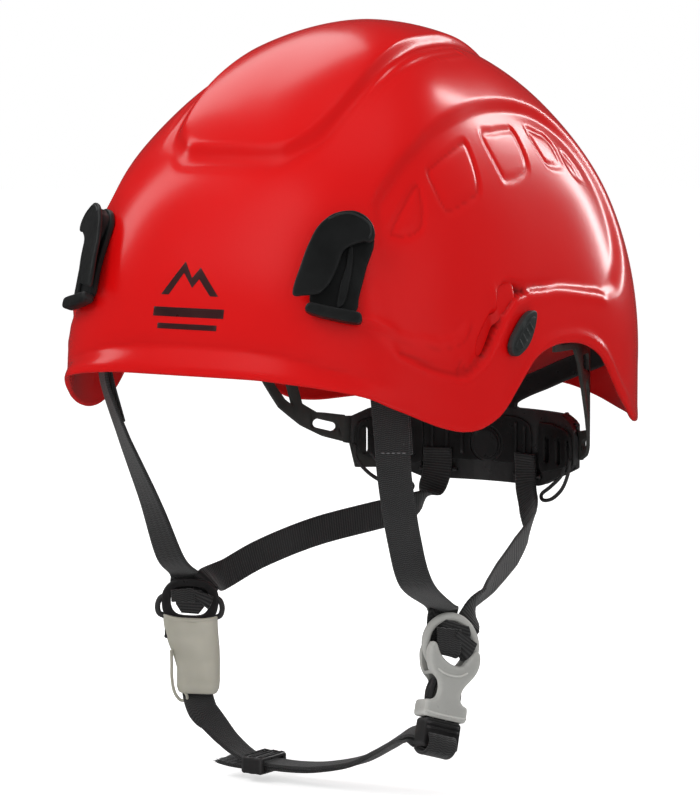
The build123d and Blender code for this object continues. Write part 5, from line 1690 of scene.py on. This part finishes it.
yoke_plate("yoke_core", [(arc(a), z) for a, z in YOKE_CORE], -0.2, 1.1, 0.55, grid=3.0,
           holes=(hub_oval(9.6, 9.0),))
yoke_plate("yoke_boss", hub_oval(8.2, 8.2), -0.2, 1.0, 0.5, step=1.0, grid=2.5,
           holes=(hub_oval(5.2, 5.2, 20),))
for k, (degrees, low, high) in enumerate(YOKE_RIBS):
    yoke_plate("yoke_rib_%d" % k, rectangle(arc(degrees) - 0.8, arc(degrees) + 0.8, low, high),
               0.8, 2.0, 0.55, step=1.0, curved=False, grid=3.0)
for side, side_name in SIDES:
    yoke_plate("yoke_wing_" + side_name, [(side * arc(a), z) for a, z in YOKE_WING],
               -0.3, 1.4, 0.7, step=1.0, grid=2.6,
               holes=[obround(side * arc(a), -44.6, 13.2, 3.9, 90) for a in (26, 33, 40)])
    # bar below the strap slots
    middle = side * arc(16.5)
    yoke_plate("yoke_bar_" + side_name, rectangle(middle - 10, middle + 10, -59.8, -58.2),
               0.0, 2.0, 0.7, step=1.0, curved=False, grid=3.0)
    loop = np.array([(side * arc(a), z, height) for a, z, height in SIZE_LOOP])
    own(tube("size_loop_" + side_name, on_yoke(loop), 0.95, "black", step=1.0),
        "nape", "plastic_black")

# ------------------------------------------------------------------ CAD nodes that stay
KEPT = {
    "adjuster_knob": "black", "adjuster_pinion": "black", "yoke_cover": "black",
    "nape_yoke": "black", "arm_left": "graphite", "arm_right": "graphite",
    "tilt_stud_left": "black", "tilt_stud_right": "black", "cover_screws": "steel",
    "knob_screw": "steel", "click_spring": "steel", "strap_anchor_left": "black",
    "strap_anchor_right": "black", "suspension_keys": "black", "headband": "graphite",
    "crown_liner": "foam", "cradle_strap_long": "pad", "cradle_strap_left": "pad",
    "cradle_strap_right": "pad"}
# metres
BEVELS = {"crown_liner": 0.0015, "nape_yoke": 0.0005, "yoke_cover": 0.0006,
          "adjuster_knob": 0.0005, "headband": 0.0005}
DEFAULT_BEVEL = 0.00035
for name, material in KEPT.items():
    obj = frame["nodes"][name]
    if obj.hide_render:
        continue
    if not obj.material_slots:
        obj.data.materials.append(None)
    for slot in obj.material_slots:
        slot.link = "OBJECT"
        slot.material = MATERIALS[material]
    obj.modifiers.new("weld", "WELD").merge_threshold = 0.000005
    if name != "click_spring":
        bevel = obj.modifiers.new("bevel", "BEVEL")
        bevel.width = BEVELS.get(name, DEFAULT_BEVEL)
        bevel.segments = 2
        bevel.limit_method = "ANGLE"
        bevel.angle_limit = math.radians(35)
        bevel.harden_normals = False

# ------------------------------------------------------------------ floor and world (metres)
FLOOR_RADIUS, FLOOR_GAP = 7.0, 0.004


def floor_material():
    """Pale floor that glows a little for the camera only and is clear from underneath."""
    s = Surface("floor_pale", base=(0.80, 0.80, 0.80), rough=0.8)
    s.set({"Specular IOR Level": 0.1})
    to_camera = s.node("LightPath").outputs["Is Camera Ray"]
    glow = s.node("Emission", {"Color": (1, 1, 1, 1),
                               "Strength": s.math("MULTIPLY", to_camera, 0.56)})
    lit = s.node("AddShader", {0: s.principled.outputs[0], 1: glow.outputs[0]})
    below = s.node("NewGeometry").outputs["Backfacing"]
    clear = s.node("BsdfTransparent").outputs[0]
    mixed = s.node("MixShader", {0: below, 1: lit.outputs[0], 2: clear})
    s.feed(s.tree.nodes["Material Output"], {"Surface": mixed.outputs[0]})
    return s.material


def build_floor():
    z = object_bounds()[0].z - FLOOR_GAP
    mesh = bpy.data.meshes.new("floor")
    corners = [2 * math.pi * k / 96 for k in range(96)]
    mesh.from_pydata([(FLOOR_RADIUS * math.cos(a), FLOOR_RADIUS * math.sin(a), z)
                      for a in corners], [], [tuple(range(96))])
    shade_smooth(mesh)
    floor = bpy.data.objects.new("floor", mesh)
    mesh.materials.append(floor_material())
    bpy.context.scene.collection.objects.link(floor)
    floor.visible_glossy = False


def build_world():
    """White to the camera, dim in reflections, moderate for everything else."""
    world = bpy.data.worlds.new("studio")
    bpy.context.scene.world = world
    world.use_nodes = True
    graph = Graph(world.node_tree)
    rays = graph.node("LightPath").outputs
    ambient = graph.map_range(rays["Is Glossy Ray"], 0.60, 0.05)
    graph.feed(graph.tree.nodes["Background"],
               {"Color": (1.0, 1.0, 1.0, 1),
                "Strength": graph.math("MAXIMUM", ambient, rays["Is Camera Ray"])})


build_floor()
build_world()

# ------------------------------------------------------------------ lights and camera (metres)
# camera axes: towards the camera, to its right, and up
BACK = Vector((0.5504, -0.8291, 0.0982))
RIGHT = Vector((0.8331, 0.5531, 0.0))
UP = Vector((-0.0543, 0.0818, 0.9951))
AIM = (RIGHT * -2.281 + UP * -13.498) * MM
CAMERA_DISTANCE = 1.7
LIGHT_TARGET = Vector((0, 0, 0.06))


def soft_light(name, direction, distance, size, power, size_y=None, gloss=True):
    """Area light facing the helmet from direction (right, up, towards the camera)."""
    right, up, back = direction
    away = (RIGHT * right + UP * up + BACK * back).normalized() * distance
    light = bpy.data.lights.new(name, "AREA")
    light.shape = "RECTANGLE" if size_y else "SQUARE"
    light.size = size
    if size_y:
        light.size_y = size_y
    light.energy = power
    obj = bpy.data.objects.new(name, light)
    bpy.context.scene.collection.objects.link(obj)
    obj.location = LIGHT_TARGET + away
    facing = LIGHT_TARGET - (LIGHT_TARGET + away)
    obj.rotation_euler = facing.to_track_quat("-Z", "Y").to_euler()
    obj.visible_glossy = gloss


# even light for the colour, left out of reflections
soft_light("key", (-0.62, 0.62, 0.48), distance=1.3, size=0.6, power=6.8, size_y=0.8, gloss=False)
soft_light("fill", (0.78, 0.18, 0.60), distance=1.4, size=0.9, power=2.8, size_y=0.9, gloss=False)
soft_light("top", (0.05, 0.98, 0.10), distance=1.3, size=0.6, power=3.6, size_y=0.9, gloss=False)
soft_light("front", (-0.05, -0.12, 0.99), distance=1.4, size=1.0, power=1.5, gloss=False)
# softboxes that draw the long highlights
soft_light("soft_crown", (-0.30, 0.78, -0.55), distance=1.25, size=0.70, power=1.9, size_y=0.5)
soft_light("soft_right", (0.68, 0.47, -0.59), distance=1.25, size=0.11, power=3.8, size_y=1.0)
soft_light("soft_left", (-0.80, 0.56, -0.18), distance=1.3, size=0.32, power=1.5, size_y=0.7)
soft_light("soft_low", (0.55, -0.45, 0.70), distance=1.5, size=0.35, power=0.35, size_y=0.5)

camera_data = bpy.data.cameras.new("camera")
camera_data.lens = 163.2
camera_data.sensor_width = 36.0
camera_data.clip_end = 50
camera = bpy.data.objects.new("camera", camera_data)
scene = bpy.context.scene
scene.collection.objects.link(camera)
camera.location = AIM + BACK * CAMERA_DISTANCE
camera.rotation_euler = (-BACK).to_track_quat("-Z", "Y").to_euler()
scene.camera = camera
scene.view_settings.view_transform = "Standard"
scene.view_settings.look = "None"
